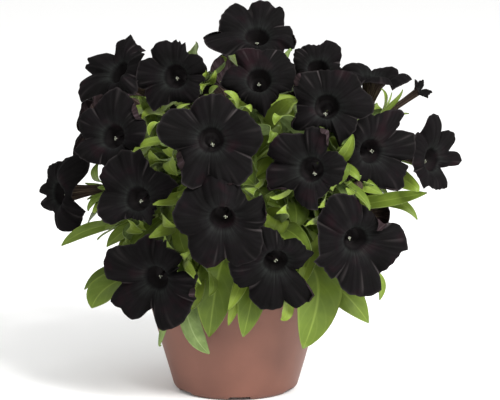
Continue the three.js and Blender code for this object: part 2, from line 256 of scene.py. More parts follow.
def node(tree, kind, settings=None, **links):
    """Adds a shader node: settings are its own fields, links name its sockets (with _ for a space,
    or a number after _ ) and give a value or a (node, output) pair."""
    made = tree.nodes.new(kind)
    for field, value in (settings or {}).items():
        setattr(made, field, value)
    for socket, value in links.items():
        number = socket.strip("_")
        target = made.inputs[int(number) if number.isdigit() else socket.replace("_", " ")]
        if isinstance(value, tuple) and isinstance(value[0], bpy.types.Node):
            tree.links.new(value[0].outputs[value[1]], target)
        else:
            target.default_value = value
    return made


def ramp(tree, factor, *stops):
    """A colour ramp node through (position, hex colour) stops."""
    made = node(tree, "ShaderNodeValToRGB", Fac=factor)
    band = made.color_ramp
    while len(band.elements) < len(stops):
        band.elements.new(1.0)
    for element, (position, colour) in zip(band.elements, stops):
        element.position = position
        element.color = linear(colour)
    return made


def noise(tree, place, size, detail):
    """A cloudy noise through an object, with clouds about size mm wide."""
    return node(tree, "ShaderNodeTexNoise", Vector=(place, "Object"), Scale=1 / (size * MM),
                Detail=detail)


# Pigmented polypropylene: an even satin-matt skin with faint cloudy flow marks and fine spark-
# eroded grain (drawn 0.8 mm wide, coarser than the real one, so that it shows).
plastic, plastic_shader = material("terracotta_polypropylene", 0.5, ior=1.49, specular=0.35)
tree = plastic.node_tree
place = node(tree, "ShaderNodeTexCoord")
clouds = noise(tree, place, 22, 3.0)
plastic_colour = ramp(tree, (clouds, "Fac"), (0.3, "#623e32"), (0.7, "#6c4538"))
tree.links.new(plastic_colour.outputs["Color"], plastic_shader.inputs["Base Color"])
grain = noise(tree, place, 0.8, 2.0)
grain_bump = node(tree, "ShaderNodeBump", Height=(grain, "Fac"), Strength=0.12, Distance=0.1 * MM)
tree.links.new(grain_bump.outputs["Normal"], plastic_shader.inputs["Normal"])
pot.data.materials.append(plastic)
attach(pot, "root")
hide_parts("pot")

# ---- the potting soil ----
# Moist dark peat with bark, filled to under the lip and a little heaped in the middle. The surface
# is uneven, and loose crumbs lie on it.
SOIL_SURFACE = 70
SOIL_EDGE = 67
SOIL_GAP = 0.5
SOIL_FLOOR_GAP = 0.4
SOIL_FOOT = POT_FLOOR + SOIL_FLOOR_GAP
HEAP_REACH = 20
CRUMBS = 420
random = np.random.default_rng(12)


def waves(x, y, size, count=24, seed=5):
    """Smooth noise from -1 to 1: a mean of sine waves of random heading with lengths near size."""
    draw = np.random.default_rng(seed)
    heading = draw.uniform(0, 2 * np.pi, count)
    number = 2 * np.pi / (size * draw.uniform(0.6, 1.6, count))
    start = draw.uniform(0, 2 * np.pi, count)
    x, y = np.asarray(x)[..., None], np.asarray(y)[..., None]
    phase = (x * np.cos(heading) + y * np.sin(heading)) * number + start
    return np.sin(phase).mean(-1) * math.sqrt(count) / 2


def inner_wall(height):
    """Radius of the soil's side at a height: the pot's inner wall less the gap."""
    return wall(height) - POT_WALL - SOIL_GAP


def heap(radius):
    """Height of the soil's surface: it rises from the edge to the full height over HEAP_REACH, by
    the power 0.6 of the way."""
    way_in = np.clip((inner_wall(SOIL_EDGE) - radius) / HEAP_REACH, 0, 1)
    return SOIL_EDGE + (SOIL_SURFACE - SOIL_EDGE) * way_in ** 0.6


soil_side = [
    (0.5, SOIL_FOOT), (CENTRE_FOOT, SOIL_FOOT), (CENTRE_FOOT + 2, FLOOR_TOP + SOIL_FLOOR_GAP),
    (inner_wall(FLOOR_TOP + 2) - 2, FLOOR_TOP + SOIL_FLOOR_GAP),
    (inner_wall(FLOOR_TOP + 2), FLOOR_TOP + 2), (inner_wall(SOIL_EDGE), SOIL_EDGE)]
soil_top_radius = np.linspace(inner_wall(SOIL_EDGE) - 0.6, 0.5, 70)
soil_profile = np.vstack([soil_side, np.stack([soil_top_radius, heap(soil_top_radius)], -1)])
soil_grid, soil_faces = turned(soil_profile, 220)
top_rows = slice(len(soil_side), None)
soil_x, soil_y = soil_grid[top_rows, :, 0], soil_grid[top_rows, :, 1]
soil_grid[top_rows, :, 2] += 0.9 * waves(soil_x, soil_y, 9) + 0.5 * waves(soil_x, soil_y, 3, seed=6)
soil_middle = [[0, 0, SOIL_FOOT], [0, 0, SOIL_SURFACE]]
soil = mesh_object("potting_soil_bed", np.vstack([soil_grid.reshape(-1, 3), soil_middle]), soil_faces)

peat, peat_shader = material("moist_peat", 0.9, specular=0.25)
tree = peat.node_tree
place = node(tree, "ShaderNodeTexCoord")
fibres = noise(tree, place, 2.5, 6.0)
peat_colour = ramp(tree, (fibres, "Fac"), (0.3, "#1d140e"), (0.55, "#35261a"), (0.75, "#54402c"))
tree.links.new(peat_colour.outputs["Color"], peat_shader.inputs["Base Color"])
peat_bump = node(tree, "ShaderNodeBump", Height=(fibres, "Fac"), Strength=0.6, Distance=0.8 * MM)
tree.links.new(peat_bump.outputs["Normal"], peat_shader.inputs["Normal"])
soil.data.materials.append(peat)
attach(soil, "root")
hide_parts("potting_soil")

# Each crumb is an eight-sided lump with its own stretch and turn, half sunk in the surface.
lump = np.array([(1, 0, 0), (0, 1, 0), (-1, 0, 0), (0, -1, 0), (0, 0, 1), (0, 0, -1)], float)
lump_faces = np.array([(0, 1, 4), (1, 2, 4), (2, 3, 4), (3, 0, 4), (1, 0, 5), (2, 1, 5), (3, 2, 5),
                       (0, 3, 5)])
crumb_far = (inner_wall(SOIL_EDGE) - 3) * np.sqrt(random.uniform(0, 1, CRUMBS))
crumb_angle = random.uniform(0, 2 * np.pi, CRUMBS)
crumb_size = random.uniform(0.5, 1.6, (CRUMBS, 1, 3)) * (1, 0.8, 0.6)
crumb_turn = random.uniform(0, 2 * np.pi, CRUMBS)
shaped = lump * crumb_size * random.uniform(0.75, 1.25, (CRUMBS, 6, 1))
spin = np.stack([np.cos(crumb_turn), np.sin(crumb_turn)], -1)[:, None]
crumb_x, crumb_y = crumb_far * np.cos(crumb_angle), crumb_far * np.sin(crumb_angle)
crumbs = np.stack([
    shaped[..., 0] * spin[..., 0] - shaped[..., 1] * spin[..., 1] + crumb_x[:, None],
    shaped[..., 0] * spin[..., 1] + shaped[..., 1] * spin[..., 0] + crumb_y[:, None],
    shaped[..., 2] + (heap(crumb_far) + 0.3)[:, None]], -1)
crumb_faces = (lump_faces[None] + 6 * np.arange(CRUMBS)[:, None, None]).reshape(-1, 3)
soil_crumbs = mesh_object("soil_crumbs", crumbs.reshape(-1, 3), crumb_faces.tolist(), smooth=False)
soil_crumbs.data.materials.append(peat)
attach(soil_crumbs, "root")

# ---- the stems ----
# Soft round green stems, sticky with fine down, that rise from the soil and lean out. Each one
# carries the stalks of its flowers, and each stalk swells into a calyx with five narrow sepals.
STEM_RADIUS = 2.1
STEM_RING = 12
STALK_RADIUS = 1.0
TUBE_LENGTH = 34
TOUCH_GAP = 0.3
CALYX_LENGTH = 9
SEPAL_WIDTH = 3.0
SEPAL_THICKNESS = 0.3

# Name, distance of the foot from the pot's axis, angle from the front (right is positive), tip.
STEMS = [
    ("stem_front", STEM_RING, -10, (-7, -44, 148)),
    ("stem_front_right", STEM_RING, 20, (12, -30, 146)),
    ("stem_right_front", STEM_RING, 48, (40, -36, 138)),
    ("stem_right_inner", STEM_RING, 75, (48, -18, 134)),
    ("stem_right", STEM_RING, 101, (58, 2, 136)),
    ("stem_right_back", STEM_RING, 128, (44, 30, 104)),
    ("stem_back_right", STEM_RING, 155, (26, 34, 142)),
    ("stem_back", STEM_RING, 182, (-4, 42, 132)),
    ("stem_back_left", STEM_RING, -146, (-30, 38, 122)),
    ("stem_left", STEM_RING, -102, (-46, 6, 128)),
    ("stem_left_front", STEM_RING, -72, (-30, -14, 150)),
    ("stem_front_left", STEM_RING, -41, (-28, -34, 108)),
    ("stem_centre", 0, 0, (5, 5, 158)),
]
# Name, stem, share of the stem where the stalk leaves it, centre of the open face, way it faces
# (degrees to the right of the front, degrees up), radius, turn of the lobes.
FLOWERS = [
    ("top", "stem_centre", 0.95, (10, -14, 234), 4, 50, 29, 0),
    ("top_left", "stem_left", 0.95, (-78, -20, 208), -56, 32, 29, 20),
    ("upper_left", "stem_left_front", 0.95, (-40, -50, 208), -18, 10, 24, 18),
    ("upper_middle", "stem_front_right", 0.95, (14, -62, 207), 0, 24, 25, 36),
    ("upper_right_back", "stem_back_right", 0.95, (52, 2, 208), 12, 40, 22, 36),
    ("upper_right", "stem_right_front", 0.95, (59, -76, 190), 4, 8, 27, 10),
    ("trumpet", "stem_right", 0.95, (89, -4, 205), 40, 70, 24, 0),
    ("left", "stem_left_front", 0.7, (-76, -54, 177), -28, 20, 25.5, 0),
    ("centre", "stem_front", 0.95, (-14, -106, 175), 0, 8, 31.5, 0),
    ("middle_right", "stem_right_front", 0.8, (42, -100, 159), -14, 4, 25.5, 10),
    ("right", "stem_right_inner", 0.95, (90, -60, 164), 30, 4, 26, 20),
    ("far_right", "stem_right", 0.75, (127, -20, 155), 50, 6, 24, 0),
    ("far_left", "stem_left", 0.7, (-112, -14, 130), -58, 2, 25.5, 10),
    ("middle_left", "stem_front_left", 0.95, (-57, -84, 144), -18, 16, 25.5, 0),
    ("front", "stem_front", 0.6, (-4, -110, 127), 0, -18, 32, 0),
    ("low_front", "stem_front_right", 0.35, (22, -92, 94), 6, -22, 28, 0),
    ("low_right", "stem_right_front", 0.45, (77, -84, 108), 18, -8, 32, 10),
    ("low_left", "stem_front_left", 0.4, (-51, -84, 87), -24, -10, 31, 36),
    ("back", "stem_back", 0.95, (-4, 104, 176), 180, 8, 31, 0),
    ("back_left", "stem_back_left", 0.95, (-68, 84, 172), -140, 12, 28, 10),
    ("back_right", "stem_back_right", 0.75, (62, 86, 176), 145, 12, 28, 20),
    ("low_back", "stem_back", 0.5, (8, 104, 116), 176, -6, 30, 30),
    ("low_back_left", "stem_back_left", 0.5, (-66, 80, 112), -140, -6, 29, 0),
    ("low_back_right", "stem_right_back", 0.95, (70, 82, 114), 140, -4, 29, 36),
    ("side_left", "stem_left", 0.85, (-98, 40, 168), -104, 8, 26, 0),
    ("side_right", "stem_right_back", 0.7, (104, 44, 152), 104, 6, 26, 20),
    ("low_side_right", "stem_right_back", 0.4, (92, 34, 106), 112, -6, 27, 0),
    ("top_back", "stem_centre", 0.8, (-38, 52, 188), -160, 44, 26, 20),
    ("top_back_right", "stem_back_right", 0.6, (28, 46, 192), 160, 44, 25, 0),
]
# The same columns for the buds, with the length of the bud in place of the turn.
BUDS = [
    ("opening_right", "stem_right", 0.85, (117, -22, 197), 62, 36, 9, 30),
    ("small_right", "stem_right_inner", 0.8, (76, -74, 141), 10, -10, 3.2, 12),
]


def unit(vectors):
    """Vectors scaled to length 1 along the last axis."""
    vectors = np.asarray(vectors, float)
    return vectors / np.linalg.norm(vectors, axis=-1, keepdims=True)


def facing(right, up):
    """The way a flower faces, from degrees right of the front and degrees up."""
    right, up = math.radians(right), math.radians(up)
    return np.array([math.sin(right) * math.cos(up), -math.cos(right) * math.cos(up), math.sin(up)])


def bezier(controls, t):
    """Points at t on the curve of 3 or 4 control points: each weighted by its Bernstein share."""
    controls, t = np.asarray(controls, float), np.asarray(t, float)[:, None]
    order = len(controls) - 1
    return sum(math.comb(order, i) * t ** i * (1 - t) ** (order - i) * c
               for i, c in enumerate(controls))


def stem_controls(ring, degrees, tip):
    """A stem rises straight out of the soil for a quarter of its height, then leans to its tip."""
    angle = math.radians(degrees)
    foot = np.array([ring * math.sin(angle), -ring * math.cos(angle), SOIL_SURFACE + TOUCH_GAP])
    tip = np.array(tip, float)
    height = tip[2] - foot[2]
    bend = foot + (tip - foot) * 0.45
    bend[2] = foot[2] + height * 0.65
    return [foot, foot + (0, 0, height * 0.25), bend, tip]


stem_curves = {name: stem_controls(*course) for name, *course in STEMS}


def stalk_controls(stem, share, head, right, up, length):
    """A stalk leaves its stem along it and runs into the calyx along the flower's axis."""
    start, near = bezier(stem_curves[stem], [share, share - 0.02])
    axis = facing(right, up)
    end = np.array(head, float) - axis * (length + TOUCH_GAP + CALYX_LENGTH)
    reach = np.linalg.norm(end - start) * 0.4
    return [start, start + unit(start - near) * reach, end - axis * reach, end]


def tube(path, radius, sides=10):
    """A closed round tube: circles of the given radii square to the path, with a fan at each end.
    The circles are turned from one fixed axis, the one that the path runs least along."""
    along = unit(np.gradient(path, axis=0))
    axis = np.eye(3)[np.abs(along).max(0).argmin()]
    side = unit(axis - (along @ axis)[:, None] * along)
    other = np.cross(along, side)
    angle = np.linspace(0, 2 * np.pi, sides, endpoint=False)[None, :, None]
    radius = np.broadcast_to(radius, len(path))[:, None, None]
    grid = path[:, None] + radius * (np.cos(angle) * side[:, None] + np.sin(angle) * other[:, None])
    rows = len(path)
    ring = np.arange(sides)
    first = np.stack([np.roll(ring, -1), ring, np.full(sides, rows * sides)], -1)
    last = np.stack([ring, np.roll(ring, -1), ring * 0], -1) + (rows - 1) * sides
    last[:, 2] = rows * sides + 1
    return (np.vstack([grid.reshape(-1, 3), path[:1], path[-1:]]),
            [*grid_faces(rows, sides, True).tolist(), *first.tolist(), *last.tolist()])


def joined(parts):
    """Several (points, faces) pairs as one pair, with the corner numbers moved on."""
    points, faces, start = [], [], 0
    for part_points, part_faces in parts:
        points.append(part_points)
        faces += [[corner + start for corner in face] for face in part_faces]
        start += len(part_points)
    return np.vstack(points), faces


def thin_body(face, thickness, around=False):
    """A grid of points as a thin closed body: the grid and a copy of it pushed back along the
    grid's normals by the thickness, joined along their edges. Returns points and faces."""
    rows, columns = face.shape[:2]
    along = np.gradient(face, axis=0)
    if around:
        padded = np.concatenate([face[:, -1:], face, face[:, :1]], 1)
        across = (padded[:, 2:] - padded[:, :-2]) / 2
    else:
        across = np.gradient(face, axis=1)
    normal = unit(np.cross(along, across) + 1e-12)
    back = face - normal * np.broadcast_to(thickness, (rows, columns))[..., None]
    front_faces = grid_faces(rows, columns, around)
    index = np.arange(rows * columns).reshape(rows, columns)
    if around:
        index = np.hstack([index, index[:, :1]])
    edges = [(index[0, 1:], index[0, :-1]), (index[-1, :-1], index[-1, 1:])]
    if not around:
        edges += [(index[:-1, 0], index[1:, 0]), (index[1:, -1], index[:-1, -1])]
    count = rows * columns
    rims = [np.stack([a, b, b + count, a + count], -1) for a, b in edges]
    faces = np.vstack([front_faces[:, ::-1], front_faces + count, *rims])
    return np.vstack([face.reshape(-1, 3), back.reshape(-1, 3)]), faces


def blades(foot, control, tip, width, faces, steps, across, widest=0.58, fold=0.16, ripple=0.0,
           seed=1):
    """Leaf blades, many at once. The midline is a quadratic curve from foot over control to tip. The
    half width is half the width times the sine of pi * s**k to the power 0.8, where s is the share
    of the midline's length and k puts the widest place where it is asked for. The two halves are
    folded up from the midrib by fold times the half width, and their edges ripple. The upper side
    looks the way that faces says. Returns an (n, steps, across, 3) grid."""
    foot, control, tip, faces = (np.atleast_2d(np.asarray(p, float))
                                 for p in (foot, control, tip, faces))
    count = len(foot)
    t = np.linspace(0, 1, steps)[None, :, None]
    mid = (1 - t) ** 2 * foot[:, None] + 2 * t * (1 - t) * control[:, None] + t ** 2 * tip[:, None]
    along = unit(2 * (1 - t) * (control - foot)[:, None] + 2 * t * (tip - control)[:, None])
    side = unit(np.cross(faces, tip - control))[:, None]
    side = unit(side - (side * along).sum(-1, keepdims=True) * along)
    normal = np.cross(along, side)
    strides = np.linalg.norm(np.diff(mid, axis=1), axis=-1)
    share = np.hstack([np.zeros((count, 1)), np.cumsum(strides, 1)]) / strides.sum(1, keepdims=True)
    power = np.log(0.5) / np.log(np.broadcast_to(widest, count))[:, None]
    half = np.broadcast_to(width, count)[:, None] / 2 * (
        np.abs(np.sin(np.pi * share ** power)) ** 0.8 + 0.06 * (1 - share))
    half = np.maximum(half, 0.35)
    v = np.linspace(-1, 1, across)[None, None, :]
    draw = np.random.default_rng(seed)
    phase = draw.uniform(0, 2 * np.pi, (count, 1, 1))
    number = draw.uniform(5, 9, (count, 1, 1))
    lift = fold * half[..., None] * np.abs(v) ** 1.3
    lift = lift + ripple * half[..., None] * v ** 2 * np.sin(number * 2 * t + phase + 2 * v)
    return (mid[:, :, None] + side[:, :, None] * (half[..., None] * v)[..., None]
            + normal[:, :, None] * lift[..., None])


def blade_parts(grids, thickness):
    """Each blade of a stack of grids as a thin closed body."""
    for grid in grids:
        points, faces = thin_body(grid, thickness)
        yield points, faces.tolist()


def calyx(head, right, up, length):
    """The cup that holds a flower's tube, widening towards it, and five sepals that lie along the
    tube and bend out a little at their tips."""
    axis = facing(right, up)
    side = unit(np.cross((0, 0, 1), axis))
    top = np.cross(axis, side)
    base = np.array(head, float) - axis * (length + TOUCH_GAP)
    cup_path = base + axis * np.array([-CALYX_LENGTH, -7, -4.5, -2, -0.2])[:, None]
    yield tube(cup_path, np.array([1.05, 1.5, 2.3, 2.8, 2.9]), 12)
    angle = np.linspace(0, 2 * np.pi, 5, endpoint=False)[:, None] + 0.3
    out = np.cos(angle) * side + np.sin(angle) * top
    foot = base - axis * 2.6 + out * 2.5
    control = base + axis * 5 + out * 4.0
    tip = base + axis * 11 + out * 9.0
    sepals = blades(foot, control, tip, SEPAL_WIDTH, -out, 7, 3, widest=0.5)
    yield from blade_parts(sepals, SEPAL_THICKNESS)


def stem_with_stalks(name):
    """One stem as a tapering tube, with its flowers' stalks and calyxes."""
    t = np.linspace(0, 1, 26)
    parts = [tube(bezier(stem_curves[name], t), STEM_RADIUS * (1.0 - 0.3 * t), 12)]
    heads = [(row, TUBE_LENGTH) for row in FLOWERS] + [(row, row[7]) for row in BUDS]
    for row, length in heads:
        if row[1] != name:
            continue
        path = bezier(stalk_controls(*row[1:6], length), t)
        parts.append(tube(path, STALK_RADIUS * (1.15 - 0.15 * t), 10))
        parts += list(calyx(*row[3:6], length))
    return joined(parts)


# Young petunia stem: yellow-green and faintly mottled, with the dull sheen of its down.
stem_skin, stem_shader = material("downy_green_stem", 0.6, ior=1.4, specular=0.35)
stem_shader.inputs["Sheen Weight"].default_value = 0.25
stem_shader.inputs["Sheen Tint"].default_value = linear("#dfe8b0")
tree = stem_skin.node_tree
place = node(tree, "ShaderNodeTexCoord")
mottle = noise(tree, place, 6, 4.0)
stem_colour = ramp(tree, (mottle, "Fac"), (0.3, "#5f7a2c"), (0.7, "#8ba24a"))
tree.links.new(stem_colour.outputs["Color"], stem_shader.inputs["Base Color"])

for stem_name, *_ in STEMS:
    stem = mesh_object(stem_name.replace("stem", "stems"), *stem_with_stalks(stem_name))
    stem.data.materials.append(stem_skin)
    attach(stem, "root")
    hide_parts(stem_name)

# ---- the flowers ----
# A petunia's petals are grown together into a funnel: a striped tube that opens at the throat into
# five rounded lobes, velvety near-black inside and brownish mauve outside, with creased edges.
PETAL_COLUMNS = 180
TUBE_ROWS = 10
LIMB_ROWS = 30
TUBE_BASE_RADIUS = 2.2
THROAT_RADIUS = 7.0
PETAL_THICKNESS = 0.3

# Flowers that face the front, as u,v in the pixels of the photograph: the middle of the throat,
# the ends of the seams between the lobes, and the points round the outline.
OUTLINES = {
    "top": (
        "257,41", "218.5,32 248.5,6.5 284.5,21 282,47 225,51",
        "203,41 212,36 215,33 218.5,32 218,26 226,11 235,5 248.5,6.5 252,2.5 260,0.5 267,1.5 "
        "273,6 275,8.5 279,7 283,9 284.5,21 290,23 297,40 293,42.5 287,41.5 277,50 268,52 256,55 "
        "245,53 235,50 225,52 207,50"),
    "top_left": (
        "124,75", "109,51 93,72 104,89 136,76 134,45",
        "128,33 126,35 124,38 121,40 116.5,41 109,51 104,52 99,54.5 89.5,60.5 92.5,67 89,66 "
        "86.5,69 90,73 94,77 90,76 86,78 82,83 80,99 81,103.5 85,100 92,95 100,90 108,88 118,90 "
        "128,92 136,97 136,88 134,80 136,72 139,62 143,58 146.5,55.5 142,52 139,49 136,48.5 "
        "132,41.5 130,40"),
    "upper_left": (
        "178,77", "149.5,57 186.5,54.5 198,74 166,102 144,89",
        "140,61 144,58 149.5,57.5 149,50 151,46 155,42 165.5,39.5 171,42.5 174.5,38 176,43 178,40 "
        "180,44 184.5,40.5 184.8,50 186.5,54.5 190,52.5 197,53 201,56 204,62 205,68 203,72.5 "
        "198,73.5 204,78 203,81 199,81.5 198,84 197,98 193,101.5 185,102 178,101 170,100 165,103 "
        "160,106 155,112.5 144,95 144,89 136,87 136,80"),
    "upper_middle": (
        "259,83", "238.5,64 277,47 292,89 277,95 245,98",
        "235,52 243,49 256,47 262,49 271,46 280,48 287,54 291,60 295,62 297.5,75 291,89 280,91 "
        "277,95 271,102 267,110 264.5,116.5 262,112 258,108 252,104 245,98 240,95 233,92 225,89 "
        "219,86 220,82 228,68 233,64.5 238.5,64"),
    "upper_right_back": (
        "317,75", "300,46.5 324,42 341,60 325,83 297,70",
        "295,50 305,46 310,47 316,46 320,45 324,42 325,40 329,40.5 339,48 341,54 341,60 340,68 "
        "336,76 328,82 318,84 308,82 301,76 296,68 294,60"),
    "upper_right": (
        "326,107", "297,105 318,70.5 361,88 357.5,119 332,131",
        "296,75 293,90 298.5,100 297,108 298,112 294,120 291,127 300,131 312,128 322,127 330,130 "
        "335,134 338,140 340.5,148 343,142 350,136 356,130 357.5,119 370,115 373.5,113 375,105 "
        "372,97 363,90 356,75 351,72 338,71 322,70 305,72.5"),
    "left": (
        "117,138", "90,107 79.5,138 95,163 131,150 138.5,116",
        "90,107 97,103 108,92 112.5,88.5 118,88 131,98 138.5,111 138,116 141,118 146,119.5 "
        "148.5,125 147.5,132 145,140 140,146 135,149.5 130,150 125,147 120,152 115,158 109,164 "
        "92,162 84,159 77,155 72,150 79.5,138 76,133 75.5,119 78,113 87,107.5"),
    "centre": (
        "211,140", "236.5,109.5 189,109.5 180,149 208,180 251,158",
        "189,109.5 197,98 221,93.5 236.5,109.5 246,112 254,122 260,124.5 263.5,138 261,147 "
        "251,158 253,172 245,183 238,187.5 234,184 230,185 224,186 219,190 208,180 193,189 "
        "180,183.5 182,177 179,168 177,150 165,146 159,141 156,130 158,124 168,110 183,107"),
    "middle_right": (
        "313,169", "303,133 273,161 291,192 328,188 328,149",
        "303,134 297,134 288,133.5 281,133 271,142 266,156 274,161 266,170 270,191 277,188.5 "
        "285,189 292,191 291,195 294,200 312,210.5 318,209 316,204 317,199 327,193 328,188 "
        "333,186 339,183 343,175 345.5,164 336,152 325,152 328,142 330,131 312,126 305,128"),
    "right": (
        "367,151", "398,131 404,162 372,185 353,150 370,113",
        "356,130 358,122 362,120 367,116 370,112 376,115 383,113 398,109 403,113 402,117 "
        "399.5,118 400,122 401,126 398,131 414,133 416,145 415,152 412,160 405,160 405,164 "
        "410,166 406,171 403,178 403,186 401,190 397,191 392,189 385,188 377,187 372,184 368,185 "
        "356,177 352,179 350,183 351,175 352,165 353,150 358,147 357,138"),
    "middle_left": (
        "141,200", "105,188.5 118,153 147,160 155,201 122,217",
        "117,153 125,150 133,152 138,152 142,149 145,157 149,165 155,170 176,180 179,186 172,188 "
        "168,193 162,198 155,200 152,206 150,215 148,226 145,222 140,219 133,217 126,216.5 "
        "120,218 115,221 111,225 107,222 103,221 98,213 99,197 105,188.5 101,177"),
    "low_front": (
        "275,257", "250,291.5 285,304 297,275 284,249 258,236",
        "240,266 229,264 232,277 238,286 245,290.5 251,290 249,293 249.5,298 262,310.5 281,308 "
        "285,304 290,306 298,306 314.5,292 305,281 298,276 297,275 309,264 316,258 308,255 "
        "303,250 298,246 287,248 284,249 280,240 276,238 264,235 257,237 250,243 248,250"),
    "low_right": (
        "354,238", "367,209 391,227 382,277 339,279 320,225",
        "333,200.5 340,197 358,199 363,204 367,209 372,213 377,215 380,222 384,224 391,227 "
        "396,225 402,227 406,233 408,242 408,250 402,251 397,258 390,268 383,274 382,277 383,284 "
        "382,290 374,293 366,297 358,296.5 348,294 342,289 339,279 336,281 333,281 325,270 "
        "319,266 314,261.5 320,258 320,250 319,240 320,230 320,224"),
    "low_left": (
        "158,277", "150,244 118,286 147,312 189,304 169,275",
        "127,247 133,246 146,236 150,244 165,240.5 161,249 173,259 177,262 174,267 170,271 "
        "168,275 171,279 176,280 187,274.5 192,274 197,278 194,286 196,295 194,302 189,304 "
        "187,317 183,323 163,330 157,329.5 154,325 151,318 147,312 144,314 139,319.5 131,320 "
        "120,309 108,303 114,290 118,286 112,285 106,281 105,255 108,250 120,247.5"),
}
# Three more, traced like these and then changed: how far the throat stands off the axis of
# its calyx (right, up), the degrees round the face of the seams, and the rim's reach from the throat
# as degrees:mm, from the flower's right round over its top.
SET_RIMS = {
    "front": ((-3.1, 3.1), (55, 127, 211, 274, 338),
        "0:26 31:27 32:18 41:18 53:18 75:22 97:24 109:24 128:22 142:26 169:30 211:24 234:31 "
        "254:34 274:29 283:34 307:34 330:28 343:23"),
    "far_left": ((-2.9, -1.8), (90, 153, 191, 255, 323),
        "0:14 24:17 36:28 50:33 62:31 74:26 90:21 110:19 130:20 150:20 164:18 176:22 186:23 "
        "194:19 205:23 218:21 231:17 253:17 262:20 287:23 305:27 315:28 325:22 340:24 352:15"),
    "far_right": ((-1.1, -3.6), (58, 119, 196, 331, 9),
        "0:29 5:27 9:21 20:24 32:26 45:24 54:21 58:18 64:22 72:27 84:29 96:29 106:28 112:24 "
        "119:20 126:24 135:26 145:25 155:23 169:22 180:23 194:19 202:18 218:20 228:22 236:19 "
        "245:17 270:19 286:20 300:22 310:20 321:15 331:13 340:18 346:26 352:29"),
}
FRAME = np.array([500, 400])
FOCAL = LENS / SENSOR_WIDTH * FRAME[0]
AHEAD = np.array([0, math.cos(CAMERA_PITCH), -math.sin(CAMERA_PITCH)])
ABOVE = np.array([0, math.sin(CAMERA_PITCH), math.cos(CAMERA_PITCH)])
EYE = (np.array(CAMERA_AIM) - CAMERA_DISTANCE * AHEAD) / MM
THROAT_DEPTH = 7.5        # of the throat behind the plane of the outline
RIM_DETAIL = 1.1          # a rim follows its outline this closely
LEAST_REACH = 0.42        # shares of a flower's radius that its rim stays between
MOST_REACH = 1.2
LEAST_REACH_SEEN = {"top_left": 0.62}


def sight(spots):
    """Headings of the lines of sight through pixels of the photograph: the focal length ahead, and
    the pixel's way to the right and up from the middle of the frame."""
    off = np.asarray(spots, float) - FRAME / 2
    return FOCAL * AHEAD + off[..., :1] * (1, 0, 0) - off[..., 1:] * ABOVE


def on_face(spots, head, right, up, back=0.0):
    """Where lines of sight meet the plane of a flower's face, or one that lies back behind it, as mm
    to the face's right and top."""
    axis = facing(right, up)
    side = unit(np.cross((0, 0, 1), axis))
    ray = sight(spots)
    origin = np.array(head, float) - axis * back
    hit = EYE + ray * (((origin - EYE) @ axis) / (ray @ axis))[..., None] - origin
    return np.stack([hit @ side, hit @ np.cross(axis, side)], -1)


def turning_points(reach, first, last):
    """Numbers between first and last where the reach strays from a straight run by more than
    RIM_DETAIL: the furthest such point, and again on both sides of it."""
    between = np.arange(first + 1, last)
    run = reach[first] + (reach[last] - reach[first]) * (between - first) / (last - first)
    stray = np.abs(run - reach[first + 1:last])
    if not stray.size or stray.max() <= RIM_DETAIL:
        return []
    worst = first + 1 + stray.argmax()
    return [*turning_points(reach, first, worst), worst, *turning_points(reach, worst, last)]


def seen_rim(name, head, right, up, radius):
    """The throat, the seams and the rim of a flower, as SET_RIMS has them, from its OUTLINES. The
    outline is laid on the plane of the face, its reach from the throat is read at each degree and
    kept between the least and the most reach, and only its turning points are taken."""
    throat, seams, outline = (np.array([pair.split(",") for pair in text.split()], float)
                              for text in OUTLINES[name])
    throat = on_face(throat, head, right, up, THROAT_DEPTH)[0]
    rim = on_face(outline, head, right, up) - throat
    way = np.linspace(0, 1, 60, endpoint=False)[:, None]
    rim = (rim[:, None] + (np.roll(rim, -1, 0) - rim)[:, None] * way).reshape(-1, 2)
    angle, far = np.degrees(np.arctan2(rim[:, 1], rim[:, 0])) % 360, np.hypot(*rim.T)
    degrees, reach = np.arange(360), np.full(360, np.nan)
    for degree in degrees:
        near = far[np.abs((angle - degree + 180) % 360 - 180) < 0.75]
        # Where the outline doubles back, the outer edge counts.
        if near.size:
            reach[degree] = np.median(near) if np.ptp(near) < 4 else near.max()
    known = ~np.isnan(reach)
    reach = np.interp(degrees, degrees[known], reach[known], period=360)
    reach = reach.clip(LEAST_REACH_SEEN.get(name, LEAST_REACH) * radius, MOST_REACH * radius)
    taken = [0, *turning_points(np.append(reach, reach[0]), 0, 360)]
    seams = (on_face(seams, head, right, up) - throat).T
    seam_degrees = np.sort(np.round(np.degrees(np.arctan2(seams[1], seams[0])) % 360))
    return np.round(throat, 1), seam_degrees, np.stack([degrees[taken], np.round(reach[taken])], -1)


RIMS = {name: seen_rim(name, *row[2:5], row[5]) for name, *row in FLOWERS if name in OUTLINES}
RIMS |= {name: (throat, seams, np.array([pair.split(":") for pair in rim.split()], float))
         for name, (throat, seams, rim) in SET_RIMS.items()}
# Where a rim is folded over to the front, so that its outside shows: (degrees round the face from
# its right, half width in degrees, length of the flap in mm).
FLAPS = {
    "top": [(184, 9, 4), (352, 9, 3)],
    "upper_middle": [(198, 14, 4)],
    "upper_right": [(138, 9, 4), (203, 8, 3)],
    "left": [(44, 15, 4)],
    "centre": [(212, 13, 6), (287, 10, 3)],
    "middle_right": [(67, 10, 4), (211, 9, 3)],
    "right": [(225, 12, 2.5), (295, 9, 2.5)],
    "middle_left": [(329, 12, 3.5)],
    "front": [(14, 8, 5.5)],
    "low_front": [(316, 8, 3)],
    "low_right": [(38, 11, 8)],
    "low_left": [(351, 7, 4)],
    "back": [(100, 10, 4)],
    "low_back_left": [(240, 10, 5)],
    "side_right": [(30, 10, 4)],
}
